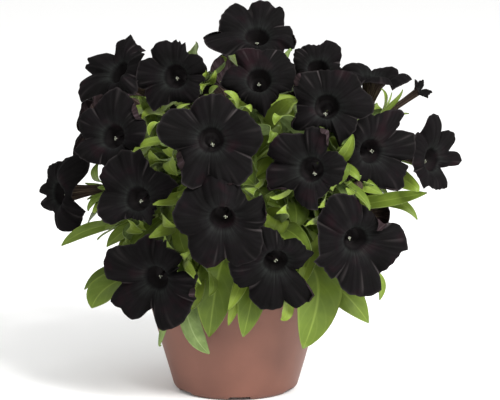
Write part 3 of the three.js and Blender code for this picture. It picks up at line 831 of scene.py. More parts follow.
# Where lobes tilt as a whole: (degrees round the face, half width, slope added, + to the front).
TILTS = {
    "front": [(95, 55, -1.5)],
    "centre": [(270, 45, 0.3)],
    "low_front": [(110, 40, -0.5)],
    "low_right": [(100, 35, -0.3)],
    "upper_middle": [(20, 40, -0.2)],
    "trumpet": [(90, 75, -0.9), (270, 70, 0.5)],
    "far_left": [(45, 35, -0.7), (325, 25, -0.6)],
}


def step(low, high, x):
    """0 below low, 1 above high and a smooth S between them."""
    x = np.clip((x - low) / (high - low), 0, 1)
    return x * x * (3 - 2 * x)


def smooth_round(values, reach):
    """The running mean round the flower, over reach columns to each side."""
    return sum(np.roll(values, k, -1) for k in range(-reach, reach + 1)) / (2 * reach + 1)


def corolla_face(name, radius, turn_degrees, draw, throat=THROAT_RADIUS, length=TUBE_LENGTH,
                 dish=0.1, curl=-0.45, notch=0.24, tip=0.03):
    """The inner face of a corolla that faces +Z, on a grid of TUBE_ROWS + LIMB_ROWS by
    PETAL_COLUMNS. Each meridian runs up the tube and out over the limb; its slope is steep at the
    throat, falls off to the dish, swings with the ruffles, turns back near the rim and over in a
    flap. A lobe that is longer than the rim's reach bends back: of many bends, each meridian takes
    the one that ends nearest to the reach. Returns the points, the distance along them (0 at the
    throat, 1 at the rim, below 0 in the tube) and the strength of a painted highlight along the
    creases and the rim."""
    angle = np.linspace(0, 2 * math.pi, PETAL_COLUMNS, endpoint=False)
    plain_seams = turn_degrees + 54 + 72 * np.arange(5) + draw.normal(0, 4, 5)
    shift, seams, knots = RIMS.get(name, ((0.0, 0.0), plain_seams, None))
    seams = np.sort(np.radians(seams) % (2 * math.pi))
    lobe = np.searchsorted(seams, angle) % 5
    lobe_start = seams[lobe - 1]
    lobe_width = (seams[lobe] - lobe_start) % (2 * math.pi)
    in_lobe = (angle - lobe_start) % (2 * math.pi) / lobe_width * 2 - 1
    if knots is not None:
        rim = np.interp(np.degrees(angle), *knots.T, period=360)
    else:
        rim = radius * (1 - notch * np.abs(in_lobe) ** 2.4 + tip * np.exp(-(in_lobe / 0.13) ** 2)
                        + smooth_round(draw.normal(0, 0.06, 5)[lobe], 6))
    rim = rim + 0.3 * np.sin(31 * angle + draw.uniform(0, 6)) * np.sin(3 * angle)
    # A short stretch of rim wider than a notch is a lobe that bends away.
    wide = smooth_round(rim, PETAL_COLUMNS // 10)
    spare = smooth_round(np.maximum(0, 0.84 * radius - wide), 4)
    flap = np.zeros(PETAL_COLUMNS)
    for middle, width, mm in FLAPS.get(name, ()):
        off = (angle - math.radians(middle) + math.pi) % (2 * math.pi) - math.pi
        flap = np.maximum(flap, mm * np.exp(-(off / math.radians(width)) ** 6))
    stride = (rim - throat + spare + flap) / LIMB_ROWS

    t = np.linspace(0, 1, LIMB_ROWS + 1)[1:, None]
    curl = smooth_round(draw.normal(curl, 0.3, 5)[lobe], 7)
    tilt = smooth_round(draw.normal(0, 0.12, 5)[lobe], 7)
    for middle, width, bend in TILTS.get(name, ()):
        off = (angle - math.radians(middle) + math.pi) % (2 * math.pi) - math.pi
        tilt = tilt + bend * np.exp(-(off / math.radians(width)) ** 4)
    slow, quick = (sum(np.sin(draw.integers(*span) * angle + draw.uniform(0, 6)) for _ in range(3))
                   for span in ((3, 9), (11, 27)))
    slope = (dish + (1.4 - dish) * np.exp(-t / 0.23) + tilt * step(0.1, 0.6, t)
             + curl * step(0.6, 1.05, t) + 0.06 * slow * step(0.2, 0.8, t)
             + 0.05 * quick * step(0.7, 1, t))
    flap_start = 1 - flap / (stride * LIMB_ROWS)
    slope = slope + 2.9 * step(0, 0.08, t - flap_start) * (flap > 0.4)
    bends = np.linspace(0, 2.2, 45)[:, None, None]
    ends = np.cumsum(np.cos(slope - bends * step(0.25, 0.9, t)) * stride, 1).max(1)
    nearest = np.abs(ends - (rim - throat)).argmin(0)
    slope = slope - smooth_round(bends[nearest, 0, 0], 4) * step(0.25, 0.9, t)
    far = np.cumsum(np.cos(slope) * stride, 0)
    fit = (rim - throat) / far.max(0)
    far = throat + far * fit
    height = np.cumsum(np.sin(slope) * stride, 0) * fit
    height = height - height[LIMB_ROWS * 7 // 10].mean() - 0.5

    # The lobes' midribs, the seams between lobes and a few stray folds are creased into the face,
    # and each lobe bends back to its seams.
    midrib = np.exp(-(in_lobe / 0.045) ** 2) * smooth_round(draw.uniform(0, 1, 5)[lobe], 2)
    seam = np.exp(-((1 - np.abs(in_lobe)) / 0.04) ** 2)
    strays = 0
    for middle in draw.uniform(0, 2 * math.pi, 3):
        off = (angle - middle + math.pi) % (2 * math.pi) - math.pi
        strays = strays + draw.uniform(0.2, 1) * np.exp(-(off / 0.022) ** 2)
    height = height - (0.1 * midrib + 0.4 * seam + 0.1 * strays) * step(0.1, 0.5, t)
    height = height - 0.13 * radius * np.abs(in_lobe) ** 4 * step(0.25, 1, t) ** 1.3

    q = np.linspace(0, 1, TUBE_ROWS)[:, None] * np.ones(PETAL_COLUMNS)
    base = min(TUBE_BASE_RADIUS, throat * 0.6)
    tube_far = base + (throat - 0.2 - base) * (0.35 * q + 0.65 * q ** 2)
    tube_far = tube_far * (1 + 0.035 * np.cos(5 * angle + 1) * q)
    tube_far[0] = 0.3
    tube_height = -length + (height[0] - 0.6 + length) * q
    far = np.vstack([tube_far, far])
    height = np.vstack([tube_height, height])
    along = np.vstack([q - 1.0, t * np.ones(PETAL_COLUMNS)])
    # The creases and the rim also get a painted highlight: this is how strongly the material lightens
    # the face towards grey mauve there.
    edge_light = smooth_round(draw.uniform(-0.5, 1, PETAL_COLUMNS), 7).clip(0, 1)
    crease = np.vstack([0 * q, (0.2 * midrib + 0.8 * seam ** 5) * step(0.35, 0.9, t)
                        + 0.5 * strays * step(0.3, 0.7, t) * step(1.0, 0.8, t)
                        + edge_light * step(0.95, 1.0, t)])
    lean = step(-1, 0, along)
    points = np.stack([far * np.cos(angle) + shift[0] * lean, far * np.sin(angle) + shift[1] * lean,
                       height], -1)
    return points, along, crease


def turned_to(points, head, right, up):
    """Points of a flower that faces +Z, turned the way it faces and moved to its place."""
    axis = facing(right, up)
    side = unit(np.cross((0, 0, 1), axis))
    return points @ np.array([side, np.cross(axis, side), axis]) + np.array(head, float)


def set_attribute(mesh, name, kind, values):
    """Stores one value (or one vector) for each point of a mesh, for its material to read."""
    field = mesh.attributes.new(name, kind, "POINT")
    field.data.foreach_set("vector" if kind == "FLOAT_VECTOR" else "value",
                           np.ascontiguousarray(values, np.float32).ravel())


def stored(tree, name):
    """A node that reads what set_attribute stored under a name."""
    return node(tree, "ShaderNodeAttribute", {"attribute_name": name})


def mixed(tree, share, first, second, blend="MIX"):
    """A node that lays a share of the second colour over the first, mixed or by another blend."""
    return node(tree, "ShaderNodeMix", {"data_type": "RGBA", "blend_type": blend},
                _0=share, _6=first, _7=second)


# Petal: a matt velvet of tiny cones that swallows light. Inside it is black with a breath of maroon
# and a painted grey-green sheen round the throat; its creases carry a painted grey mauve highlight,
# and its outside is a greyed brown mauve.
petal_skin, petal_shader = material("black_velvet_petal", 0.8, ior=1.1, specular=0.2)
petal_shader.inputs["Sheen Weight"].default_value = 0.006
petal_shader.inputs["Sheen Roughness"].default_value = 0.5
petal_shader.inputs["Sheen Tint"].default_value = linear("#b9aab0")
tree = petal_skin.node_tree
place = node(tree, "ShaderNodeTexCoord")
petal_place = stored(tree, "petal")
crease_highlight_attribute = stored(tree, "crease")
outside = stored(tree, "outside")
parts = node(tree, "ShaderNodeSeparateXYZ", Vector=(petal_place, "Vector"))
# Streaks run from the throat to the rim: noise that changes fast round the flower and slowly along
# it. One unit round is a radian, so 9 x 1.6 = 14 gives streaks about 2 mm wide at the rim.
streak_place = node(tree, "ShaderNodeMapping", Vector=(petal_place, "Vector"), Scale=(9, 9, 0.8))
streaks = node(tree, "ShaderNodeTexNoise", Vector=(streak_place, "Vector"), Scale=1.6, Detail=5.0,
               Roughness=0.65)
patches = noise(tree, place, 16, 2.0)
face_colour = ramp(tree, (patches, "Fac"), (0.42, "#0b0a0a"), (0.58, "#0d0b0c"), (0.76, "#160c0f"))
# A painted sheen: a streaked grey-green ring just outside the throat, added to the face colour.
throat_sheen = ramp(tree, (parts, "Z"), (0.0, "#000000"), (0.12, "#1b1e1c"), (0.2, "#101211"),
             (0.4, "#000000"))
streak_tone = ramp(tree, (streaks, "Fac"), (0.36, "#000000"), (0.72, "#ffffff"))
streaked_throat_sheen = mixed(tree, 0.85, (throat_sheen, "Color"), (streak_tone, "Color"), "MULTIPLY")
with_throat_sheen = mixed(tree, 1.0, (face_colour, "Color"), (streaked_throat_sheen, 2), "ADD")
with_streaks = mixed(tree, 0.0025, (with_throat_sheen, 2), (streak_tone, "Color"), "ADD")
# Inside the tube the petal is painted paler the deeper it goes: painted light that lifts the tube's
# shade.
depth = node(tree, "ShaderNodeMapRange", Value=(parts, "Z"), From_Min=-1.0, From_Max=0.0,
             To_Min=0.0, To_Max=1.0)
painted_light_inside = ramp(tree, (depth, "Result"), (0.2, "#6a6566"), (0.75, "#252222"))
off_throat = node(tree, "ShaderNodeMapRange", Value=(parts, "Z"), From_Min=-0.35, From_Max=0.0,
                  To_Min=0.0, To_Max=1.0)
with_painted_light_inside = mixed(tree, (off_throat, "Result"), (painted_light_inside, "Color"), (with_streaks, 2))
# A painted highlight: along the creases and the rim the face is lightened towards grey mauve.
crease_highlight_share = node(tree, "ShaderNodeMath", {"operation": "MULTIPLY", "use_clamp": True},
                    _0=(crease_highlight_attribute, "Fac"), _1=0.5)
creased = mixed(tree, (crease_highlight_share, "Value"), (with_painted_light_inside, 2), linear("#565050"))
outside_colour = ramp(tree, (streaks, "Fac"), (0.34, "#141010"), (0.52, "#251d1e"), (0.72, "#40363a"))
# The tube is paler, streaked grey-green and mauve brown.
tube_colour = ramp(tree, (streaks, "Fac"), (0.36, "#1a1412"), (0.52, "#362c27"), (0.68, "#635848"))
off_tube = node(tree, "ShaderNodeMapRange", Value=(parts, "Z"), From_Min=-0.1, From_Max=0.35,
                To_Min=0.0, To_Max=1.0)
behind = mixed(tree, (off_tube, "Result"), (tube_colour, "Color"), (outside_colour, "Color"))
petal_colour = mixed(tree, (outside, "Fac"), (creased, 2), (behind, 2))
tree.links.new(petal_colour.outputs[2], petal_shader.inputs["Base Color"])
petal_bump = node(tree, "ShaderNodeBump", Height=(streaks, "Fac"), Strength=0.15, Distance=0.3 * MM)
tree.links.new(petal_bump.outputs["Normal"], petal_shader.inputs["Normal"])


def petals(piece_name, replaced, grid, place_row):
    """A corolla's face as a thin closed funnel in its place, with what its material reads."""
    face, along, crease = grid
    points, faces = thin_body(face, PETAL_THICKNESS, around=True)
    piece = mesh_object(piece_name, turned_to(points, *place_row), faces.tolist())
    angle = np.linspace(0, 2 * math.pi, PETAL_COLUMNS, endpoint=False) + 0 * along
    spot = np.stack([np.cos(angle), np.sin(angle), along], -1).reshape(-1, 3)
    set_attribute(piece.data, "petal", "FLOAT_VECTOR", np.vstack([spot, spot]))
    # How strongly the material paints a highlight along the creases and the rim.
    set_attribute(piece.data, "crease", "FLOAT", np.tile(crease.ravel(), 2))
    set_attribute(piece.data, "outside", "FLOAT", np.repeat([0.0, 1.0], along.size))
    piece.data.materials.append(petal_skin)
    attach(piece, "root")
    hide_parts(replaced)


# A flower that is still cupped: how steeply its limb rises, and how far its rim turns back.
CUPPED = {"trumpet": (0.6, -1.0)}
throats = {}
reaches = {}
for number, (name, _, _, head, right, up, radius, turn_degrees) in enumerate(FLOWERS):
    dish, curl = CUPPED.get(name, (0.1, -0.45))
    grid = corolla_face(name, radius, turn_degrees, np.random.default_rng(100 + number),
                        dish=dish, curl=curl)
    petals(f"petals_{name}", f"flower_{name}", grid, (head, right, up))
    throats[name] = grid[0][TUBE_ROWS].mean(0)
    reaches[name] = np.hypot(*(grid[0][TUBE_ROWS:] - throats[name])[..., :2].T).max(1)

# ---- the stamens ----
# In the mouth of each tube stand four pale anthers on fine threads round the stigma. They are soft,
# matt and dusty with pollen.
# How far the cluster stands off the middle of the throat, where it can be seen (right, up).
ANTHERS = {"upper_left": (1.2, -1.2), "upper_right": (-1, -4.4), "left": (1.5, -1.2),
           "centre": (0.9, -2.8), "middle_right": (2, -2.5), "right": (1, 0),
           "middle_left": (2, -1.2), "front": (2, 0.6), "low_front": (0, 0.6),
           "low_right": (-3.8, 0.9)}
ANTHER_SIZE = 0.4
STIGMA_SIZE = 0.48
CLUSTER_RADIUS = 0.85
THREAD_RADIUS = 0.18
pollen_skin, pollen_shader = material("pollen_dusted_anther", 0.8, specular=0.2)
tree = pollen_skin.node_tree
place = node(tree, "ShaderNodeTexCoord")
dust = noise(tree, place, 0.7, 2.0)
dust_colour = ramp(tree, (dust, "Fac"), (0.35, "#5b5e4a"), (0.6, "#8b8d80"))
thread = stored(tree, "thread")
stamen_colour = mixed(tree, (thread, "Fac"), (dust_colour, "Color"), linear("#2c2325"))
tree.links.new(stamen_colour.outputs[2], pollen_shader.inputs["Base Color"])


def stamens(off, throat, draw, seen):
    """Anthers as small spindles on threads that come up the tube, and the stigma among them."""
    root = np.array([0, 0, throat[2] - 16])
    level = throat[2] + (0.8 if seen else -4)
    middle = np.array([throat[0] + off[0], throat[1] + off[1], level])
    bead = np.array([0.1, 0.75, 1, 0.75, 0.1])
    for k in range(5):
        turn = k * 2 * math.pi / 4 + draw.uniform(-0.4, 0.4)
        spread = 0.0 if k == 4 else CLUSTER_RADIUS
        head = middle + (spread * math.cos(turn), spread * math.sin(turn), draw.uniform(-0.7, 0.5))
        thread = bezier([root, (root + head) / 2, head - (0, 0, 3), head], np.linspace(0, 1, 6))
        yield tube(thread, np.full(6, THREAD_RADIUS), 6)
        lean = unit([math.cos(turn + 1.2), math.sin(turn + 1.2), 0.5])
        size = STIGMA_SIZE if k == 4 else ANTHER_SIZE
        yield tube(head + lean * np.linspace(-1, 1, 5)[:, None] * size * 1.2, bead * size, 8)


for number, (name, _, _, head, right, up, *_) in enumerate(FLOWERS):
    parts_list = list(stamens(ANTHERS.get(name, (0, -1)), throats[name],
                              np.random.default_rng(300 + number), name in ANTHERS))
    points, faces = joined(parts_list)
    piece = mesh_object(f"stamens_{name}", turned_to(points, head, right, up), faces)
    set_attribute(piece.data, "thread", "FLOAT",
                  np.repeat([1.0, 0.0] * 5, [len(part[0]) for part in parts_list]))
    piece.data.materials.append(pollen_skin)
    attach(piece, "root")

# ---- the buds ----
# The half-open flower at the right is still a narrow trumpet with five pointed lobes, and the small
# bud is a folded spindle. Both show the brownish outside of their petals.
name, _, _, head, right, up, radius, bud_length = BUDS[0]
opening = corolla_face(name, 0.8 * radius, 18, np.random.default_rng(71), throat=2.4,
                       length=bud_length, dish=1.05, curl=-0.9, notch=0.45, tip=0.15)
petals(f"petals_{name}", f"bud_{name}", opening, (head, right, up))

name, _, _, head, right, up, radius, bud_length = BUDS[1]
t = np.linspace(0, 1, 16)
spindle_path = np.stack([0 * t, 0.5 * np.sin(3 * t), -bud_length * (1 - t)], -1)
spindle_radius = radius * (0.3 + 0.7 * np.sin(np.pi * t ** 0.8)) * (1 - t ** 6)
points, faces = tube(spindle_path, np.maximum(spindle_radius, 0.15), 20)
spindle = mesh_object(f"petals_{name}", turned_to(points, head, right, up), faces)
angle = np.tile(np.linspace(0, 2 * np.pi, 20, endpoint=False), 16)
spot = np.stack([np.cos(angle), np.sin(angle), np.repeat(t, 20) - 1], -1)
set_attribute(spindle.data, "petal", "FLOAT_VECTOR", np.vstack([spot, spot[:1], spot[-1:]]))
set_attribute(spindle.data, "crease", "FLOAT", np.zeros(len(points)))
set_attribute(spindle.data, "outside", "FLOAT", np.ones(len(points)))
spindle.data.materials.append(petal_skin)
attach(spindle, "root")
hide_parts(f"bud_{name}")

# ---- the large leaves ----
# Soft, downy, yellow-green blades with a sunk midrib, folded a little along it and wavy at the edge.
# The lower ones arch over the pot's lip and hang in front of it, the others stand out at the sides.
LEAF_THICKNESS = 0.35
# Name, stem, share of the stem where it grows, the point that its arch bends to, tip, width, way it
# faces (degrees right, degrees up), how far along it is widest.
LEAVES = [
    ("front_left", "stem_front", 0.12, (-8, -72, 119), (-16, -66, 48), 25, (-10, 0), 0.6),
    ("front_middle", "stem_front_right", 0.1, (18, -76, 102), (5, -74, 50), 17, (0, 0), 0.68),
    ("front_right", "stem_right_front", 0.34, (70, -68, 109), (42, -64, 40), 30, (15, 0), 0.61),
    ("right_low", "stem_right_inner", 0.2, (57, -60, 96), (83, -54, 54), 22, (30, 5), 0.64),
    ("right_rim", "stem_right", 0.15, (102, -14, 94), (92, -16, 60), 14, (50, 10), 0.7),
    ("left_rim", "stem_left", 0.15, (-74, -24, 94), (-95, -34, 71), 14, (-45, 20), 0.68),
    ("left_low", "stem_front_left", 0.1, (-78, -50, 94), (-89, -56, 64), 20, (-30, 10), 0.84),
    ("left_long", "stem_left", 0.5, (-82, -28, 123), (-109, -34, 99), 8.5, (-10, 25), 0.8),
    ("right_long", "stem_right_inner", 0.68, (94, -24, 126), (120, -30, 132), 9, (0, 30), 0.74),
    ("right_middle", "stem_right_inner", 0.56, (102, -14, 140), (115, -20, 113), 9, (10, 10), 0.7),
    ("back_left", "stem_back_left", 0.12, (-46, 66, 121), (-46, 66, 44), 24, (-140, 0), 0.66),
    ("back_middle", "stem_back", 0.12, (6, 83, 122), (6, 80, 42), 26, (176, 0), 0.66),
    ("back_right", "stem_back_right", 0.1, (56, 58, 120), (56, 58, 46), 24, (140, 0), 0.66),
]
LEAF_FOOT = 1.6           # from the axis of its stem to the foot of a leaf, inside the stem
leaf_skin, leaf_shader = material("downy_petunia_leaf", 0.5, ior=1.42, specular=0.25)
leaf_shader.inputs["Sheen Weight"].default_value = 0.12
leaf_shader.inputs["Sheen Tint"].default_value = linear("#e6efb8")
tree = leaf_skin.node_tree
place = node(tree, "ShaderNodeTexCoord")
leaf_place = stored(tree, "leaf")
underside = stored(tree, "underside")
parts = node(tree, "ShaderNodeSeparateXYZ", Vector=(leaf_place, "Vector"))
off_rib = node(tree, "ShaderNodeMath", {"operation": "ABSOLUTE"}, _0=(parts, "Y"))
# Side veins leave the midrib at a slant, nine to a leaf.
slant = node(tree, "ShaderNodeMath", {"operation": "MULTIPLY_ADD"}, _0=(off_rib, "Value"), _1=-12.0,
             _2=0.0)
vein_phase = node(tree, "ShaderNodeMath", {"operation": "MULTIPLY_ADD"}, _0=(parts, "X"), _1=56.0,
                  _2=(slant, "Value"))
vein_wave = node(tree, "ShaderNodeMath", {"operation": "SINE"}, _0=(vein_phase, "Value"))
veins = ramp(tree, (vein_wave, "Value"), (0.72, "#000000"), (1.0, "#505050"))
rib = ramp(tree, (off_rib, "Value"), (0.02, "#b0b0b0"), (0.09, "#000000"))
lines = mixed(tree, 1.0, (rib, "Color"), (veins, "Color"), "LIGHTEN")
blotches = noise(tree, place, 7, 3.0)
tone = node(tree, "ShaderNodeMath", {"operation": "MULTIPLY_ADD"}, _0=(blotches, "Fac"), _1=0.5,
            _2=(parts, "Z"))
upper_green = ramp(tree, (tone, "Value"), (0.3, "#3b4c15"), (0.75, "#50611b"), (1.2, "#657626"))
lined = mixed(tree, (lines, 2), (upper_green, "Color"), linear("#7c8d3d"))
# The edge is thin and lets light through, so it shows as a fine paler line.
edge = ramp(tree, (off_rib, "Value"), (0.86, "#000000"), (0.97, "#bcbcbc"))
edged = mixed(tree, (edge, "Color"), (lined, 2), linear("#748536"))
# The underside is paler and greyer, with its veins standing out in a lighter green.
under_green = ramp(tree, (blotches, "Fac"), (0.35, "#586a38"), (0.65, "#6b7d48"))
under_lined = mixed(tree, (lines, 2), (under_green, "Color"), linear("#8b9a68"))
leaf_colour = mixed(tree, (underside, "Fac"), (edged, 2), (under_lined, 2))
tree.links.new(leaf_colour.outputs[2], leaf_shader.inputs["Base Color"])
leaf_bump = node(tree, "ShaderNodeBump", Height=(lines, 2), Strength=0.4, Distance=-0.3 * MM)
tree.links.new(leaf_bump.outputs["Normal"], leaf_shader.inputs["Normal"])


def leaf_piece(name, grids, tones, thickness=LEAF_THICKNESS):
    """One piece of all the blades in a stack of grids, each with its own tone of green."""
    steps, across = grids.shape[1:3]
    points, faces = joined(blade_parts(grids, thickness))
    piece = mesh_object(name, points, faces)
    t, v = np.meshgrid(np.linspace(0, 1, steps), np.linspace(-1, 1, across), indexing="ij")
    spot = np.stack(np.broadcast_arrays(t, v, np.asarray(tones)[:, None, None, None]), -1)
    spot = spot.reshape(len(grids), 1, steps * across, 3).repeat(2, 1)
    set_attribute(piece.data, "leaf", "FLOAT_VECTOR", spot)
    under = np.zeros((len(grids), 2, steps * across))
    under[:, 1] = 1
    set_attribute(piece.data, "underside", "FLOAT", under)
    piece.data.materials.append(leaf_skin)
    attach(piece, "root")
    return piece


for number, (name, stem_name, share, bend, tip, width, faces, widest) in enumerate(LEAVES):
    foot = bezier(stem_curves[stem_name], [share])[0]
    foot = foot + unit((bend - foot) * (1, 1, 0)) * LEAF_FOOT
    grid = blades(foot, bend, tip, width, facing(*faces), 34, 15, widest=widest, fold=0.16,
                  ripple=0.1, seed=40 + number)
    piece = leaf_piece(f"large_leaf_{name}", grid, [0.35 + 0.05 * (number % 5)])
    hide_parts(f"leaf_{name}")

# ---- the small leaves ----
# Young leaves fill the plant between its flowers. Each grows from a stem or from the foot of a
# flower's stalk, comes out between the flowers and spreads its blade there.
# The ones that show from the front, given on the photograph: middle of the blade and its tip,
# each as u, v in its pixels and y in mm, width in pixels, way it faces (degrees right, up).
SHOWN = [
    ((192, 328, -60), (210, 353, -60), 22, (165, 0)),
    ((214, 282, -74), (208, 296, -76), 13, (-10, 10)),
    ((196, 290, -66), (191, 310, -64), 19, (-25, 0)),
    ((190, 269, -92), (202, 285, -93), 10, (10, 45)),
    ((184, 256, -88), (192, 251, -90), 10, (10, 30)),
    ((169, 248, -86), (164, 236, -90), 12, (-20, 10)),
    ((182, 246, -70), (190, 262, -68), 16, (-10, -10)),
    ((163, 230, -82), (148, 238, -84), 15, (-15, 30)),
    ((165, 221, -86), (176, 227, -90), 11, (10, 40)),
    ((166, 201, -84), (153, 205, -88), 14, (-15, 35)),
    ((190, 193, -84), (177, 197, -86), 16, (0, 35)),
    ((172, 214, -76), (186, 222, -78), 15, (10, 0)),
    ((254, 192, -92), (244, 188, -96), 12, (10, 40)),
    ((246, 201, -88), (257, 208, -90), 13, (10, 10)),
    ((276, 222, -76), (268, 238, -76), 26, (10, 0)),
    ((296, 236, -84), (311, 256, -86), 20, (-20, 15)),
    ((287, 210, -92), (276, 213, -97), 15, (-10, 45)),
    ((281, 195, -92), (270, 196, -96), 10, (0, 45)),
    ((313, 222, -86), (304, 226, -90), 9, (-10, 50)),
    ((325, 201, -88), (318, 207, -92), 12, (0, 40)),
    ((335, 188, -86), (328, 184, -88), 12, (-10, 20)),
    ((306, 272, -74), (301, 290, -74), 15, (-10, 0)),
    ((300, 258, -70), (296, 272, -70), 16, (0, 0)),
    ((236, 294, -80), (228, 309, -82), 14, (-20, 10)),
    ((233, 311, -72), (228, 325, -73), 13, (-10, 0)),
    ((287, 306, -78), (281, 319, -79), 24, (5, 0)),
    ((412, 184, -34), (420, 191, -34), 19, (20, 15)),
    ((364, 199, -82), (369, 210, -86), 12, (10, 10)),
    ((352, 196, -80), (346, 188, -82), 14, (0, 30)),
    ((371, 188, -66), (383, 193, -68), 14, (10, 30)),
    ((346, 152, -78), (352, 135, -78), 13, (-10, 10)),
    ((345, 168, -80), (340, 184, -80), 14, (-10, 0)),
    ((352, 172, -78), (360, 180, -80), 13, (10, 20)),
    ((386, 101, -24), (381, 89, -26), 7, (-10, 10)),
    ((394, 102, -28), (403, 89, -30), 7, (10, 10)),
    ((379, 107, -30), (373, 109, -32), 14, (0, 30)),
    ((106, 234, -50), (98, 240, -52), 18, (-30, 35)),
    ((116, 236, -56), (107, 247, -58), 16, (-25, 15)),
    ((126, 242, -56), (118, 250, -58), 14, (-20, 10)),
    ((138, 240, -60), (130, 250, -62), 15, (-15, 10)),
    ((113, 224, -50), (104, 230, -50), 12, (-30, 40)),
    ((131, 226, -64), (143, 233, -68), 14, (-15, 40)),
    ((126, 238, -62), (134, 246, -64), 13, (-20, 20)),
    ((140, 222, -68), (147, 230, -70), 12, (-10, 45)),
    ((94, 200, -34), (88, 211, -34), 10, (-5, 5)),
    ((96, 177, -36), (98, 162, -36), 13, (-5, 5)),
    ((98, 207, -36), (94, 213, -36), 12, (-10, 10)),
    ((147, 107, -40), (137, 96, -40), 14, (-20, 20)),
    ((150, 112, -44), (143, 118, -46), 14, (-20, 20)),
    ((176, 112, -78), (189, 103, -82), 9, (0, 60)),
    ((156, 124, -60), (150, 136, -62), 11, (-20, 10)),
    ((149, 142, -66), (132, 152, -66), 12, (-25, 40)),
    ((158, 160, -74), (150, 150, -76), 16, (-20, 20)),
    ((170, 162, -82), (178, 176, -84), 17, (-10, 15)),
    ((168, 148, -78), (176, 158, -80), 14, (-5, 30)),
    ((160, 140, -74), (168, 132, -76), 12, (-15, 30)),
    ((152, 168, -72), (158, 176, -74), 14, (-15, 0)),
    ((161, 338, -62), (160, 345, -62), 8, (-20, 0)),
    ((206, 76, -36), (202, 70, -36), 12, (-10, 20)),
    ((213, 80, -38), (215, 70, -38), 10, (0, 10)),
    ((204, 88, -44), (198, 84, -46), 15, (-10, 30)),
    ((210, 94, -60), (218, 86, -62), 13, (0, 40)),
    ((236, 100, -84), (224, 92, -86), 14, (0, 40)),
    ((244, 106, -86), (252, 112, -88), 14, (10, 30)),
    ((286, 104, -64), (296, 100, -64), 18, (10, 40)),
    ((282, 116, -78), (274, 124, -80), 16, (-5, 20)),
    ((290, 112, -52), (294, 121, -54), 18, (0, 15)),
    ((272, 130, -84), (268, 142, -86), 14, (-5, 10)),
    ((225, 62, -20), (221, 55, -20), 4, (0, 0)),
    ((288, 52, -20), (291, 51, -20), 8, (0, 20)),
]
TRIES = 12000
MOST_LEAVES = 480
LEAF_SPACING = 2.6
SMALL_LEAF_THICKNESS = 0.3
NARROWEST = 3             # mm, of a shown leaf
CORE = np.array([0, 0, 105.0])
# Room in mm that the random leaves leave round a rim, before and behind a limb, before a flower's
# face, over the pot and the soil, and inside the box of the CAD model.
ROOM_ROUND_RIM = 1.5
ROOM_AT_LIMB = 3
ROOM_BEFORE_FACE = 28
ROOM_OVER_POT = 4
ROOM_INSIDE_BOX = 1.5
draw = np.random.default_rng(21)

carriers = [(name, curve, 0.2, 1.0) for name, curve in stem_curves.items()]
carriers += [(row[1], stalk_controls(*row[1:6], TUBE_LENGTH), 0.1, 0.85) for row in FLOWERS]
carrier_weight = np.array([2.0] * len(STEMS) + [1.0] * len(FLOWERS))


def seen_at(picks):
    """Where the lines of sight through pixels reach a depth: rows of u, v and y."""
    picks = np.array(picks, float)
    ray = sight(picks[:, :2])
    return EYE + ray * ((picks[:, 2:] - EYE[1]) / ray[:, 1:2])


# A shown leaf starts at the place on a carrier that lies nearest behind its blade.
middle_picks, tip_picks, seen_widths, shown_faces = zip(*SHOWN)
shown_middle, shown_tip = seen_at(middle_picks), seen_at(tip_picks)
from_eye = (shown_middle - EYE) @ AHEAD
shown_width = np.maximum(NARROWEST, np.round(np.array(seen_widths) * from_eye / FOCAL))
shown_middle, shown_tip = np.round(shown_middle), np.round(shown_tip)
shown_faces = np.array([facing(*way) for way in shown_faces])
behind = shown_middle - 0.8 * (shown_tip - shown_middle) - 12 * shown_faces
carrier_spots = np.concatenate([bezier(curve, np.linspace(low, high, 20))
                                for _, curve, low, high in carriers])
nearest = np.linalg.norm(behind[:, None] - carrier_spots, axis=-1).argmin(1)
shown_foot = carrier_spots[nearest]
shown_stem = np.array([carriers[number][0] for number in nearest // 20])
# The quadratic curve from foot to tip passes through the middle of the blade at WIDEST_AT.
WIDEST_AT = 0.64
shown_control = (shown_middle - (1 - WIDEST_AT) ** 2 * shown_foot - WIDEST_AT ** 2 * shown_tip) / (
    2 * WIDEST_AT * (1 - WIDEST_AT))
shown_shape = dict(widest=0.66, fold=0.2, ripple=0.12, seed=9)
shown = blades(shown_foot, shown_control, shown_tip, shown_width, shown_faces, 18, 9, **shown_shape)

pick = draw.choice(len(carriers), TRIES, p=carrier_weight / carrier_weight.sum())
foot = np.zeros((TRIES, 3))
for number, (_, curve, low, high) in enumerate(carriers):
    chosen = pick == number
    foot[chosen] = bezier(curve, draw.uniform(low, high, chosen.sum()))
outward = unit((foot - CORE) * (1, 1, 0.8) + (0, 0, 6))
across_out = draw.normal(0, 1, (TRIES, 3))
across_out = unit(across_out - (across_out * outward).sum(-1, keepdims=True) * outward)
heading = unit(outward * draw.uniform(0.1, 1, (TRIES, 1))
               + across_out * draw.uniform(0.3, 1, (TRIES, 1)))
leaf_length = draw.uniform(18, 40, (TRIES, 1))
tip = foot + heading * leaf_length - (0, 0, 1) * leaf_length * draw.uniform(0, 0.3, (TRIES, 1))
control = foot + unit(heading + outward * draw.uniform(0.3, 1.1, (TRIES, 1))) * leaf_length * 0.55
leaf_width = leaf_length[:, 0] * draw.uniform(0.44, 0.6, TRIES)
leaf_faces = unit(outward + (0, 0, 0.3) + draw.normal(0, 0.35, (TRIES, 3)))
small_shape = dict(widest=0.6, fold=0.22, ripple=0.12, seed=8)
rough = blades(foot, control, tip, leaf_width, leaf_faces, 6, 3, **small_shape)[:, 1:]


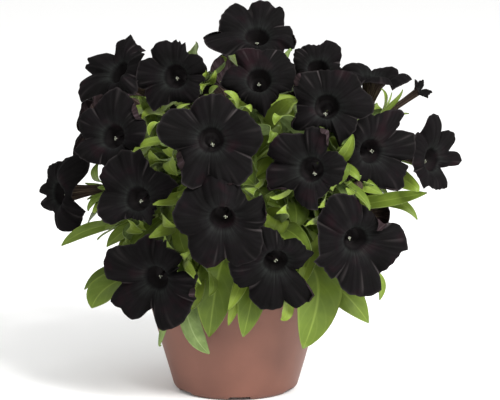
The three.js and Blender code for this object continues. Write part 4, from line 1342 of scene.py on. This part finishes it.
def meets_flower(points, row):
    """Whether a point lies in a flower's tube or limb or before its open face. In the flower's own
    frame the limb stands at -7 * exp((6 - r) / 5), r out from the axis, and r ends at its reach."""
    name, head, right, up = row[0], *row[3:6]
    axis = facing(right, up)
    side = unit(np.cross((0, 0, 1), axis))
    x, y, z = ((points - head) @ np.array([side, np.cross(axis, side), axis]).T).T
    far = np.hypot(x, y)
    from_throat = np.hypot(x - throats[name][0], y - throats[name][1])
    turn = np.arctan2(y - throats[name][1], x - throats[name][0]) % (2 * math.pi)
    columns = np.arange(PETAL_COLUMNS) * 2 * math.pi / PETAL_COLUMNS
    reach = np.interp(turn, columns, reaches[name], period=2 * math.pi)
    limb = -7 * np.exp((6 - far) / 5)
    in_limb = (from_throat < reach + ROOM_ROUND_RIM) & (np.abs(z - limb) < ROOM_AT_LIMB)
    before = (from_throat < 0.85 * reach) & (z > limb) & (z < ROOM_BEFORE_FACE)
    up_tube = np.clip((z + TUBE_LENGTH) / (TUBE_LENGTH - 6), 0, 1)
    in_tube = (z > -TUBE_LENGTH - CALYX_LENGTH - 3) & (z < -6) & (far < 4 + 4 * up_tube)
    return in_limb | before | in_tube


spots = rough.reshape(-1, 3)
hits = np.zeros(len(spots), bool)
for row in FLOWERS:
    hits |= meets_flower(spots, row)
from_axis = np.hypot(spots[:, 0], spots[:, 1])
over_pot = from_axis < LIP_RADIUS + 3
over_lip = over_pot & (from_axis > wall(SOIL_EDGE) - 6)
hits |= over_lip & (spots[:, 2] < POT_HEIGHT + ROOM_OVER_POT)
hits |= over_pot & (spots[:, 2] < SOIL_SURFACE + ROOM_OVER_POT)
low_corner, high_corner = (np.array(corner) / MM for corner in cad_box)
hits |= (spots < low_corner + ROOM_INSIDE_BOX).any(-1)
hits |= (spots > high_corner - ROOM_INSIDE_BOX).any(-1)
free = ~hits.reshape(TRIES, -1).any(1)

# Leaves are taken in turn, each if it stays clear of the shown ones and of those taken before.
taken = []
taken_spots = shown[:, 3::3, ::4].reshape(-1, 3)
for number in np.flatnonzero(free):
    own = rough[number, 1:].reshape(-1, 3)
    if len(taken) < MOST_LEAVES and (
            np.linalg.norm(taken_spots[:, None] - own, axis=-1) > LEAF_SPACING).all():
        taken.append(number)
        taken_spots = np.vstack([taken_spots, own])
taken = np.array(taken)
small = blades(foot[taken], control[taken], tip[taken], leaf_width[taken], leaf_faces[taken], 9, 5,
               **small_shape)
small_tones = draw.uniform(0.1, 0.9, len(taken))
shown_tones = draw.uniform(0.3, 0.9, len(shown))
taken_stem = np.array([carriers[number][0] for number in pick[taken]])
for stem_name, *_ in STEMS:
    own = shown_stem == stem_name
    if own.any():
        leaf_piece(stem_name.replace("stem", "shown_leaves"), shown[own], shown_tones[own],
                   SMALL_LEAF_THICKNESS)
    own = taken_stem == stem_name
    if own.any():
        leaf_piece(stem_name.replace("stem", "leaves"), small[own], small_tones[own],
                   SMALL_LEAF_THICKNESS)
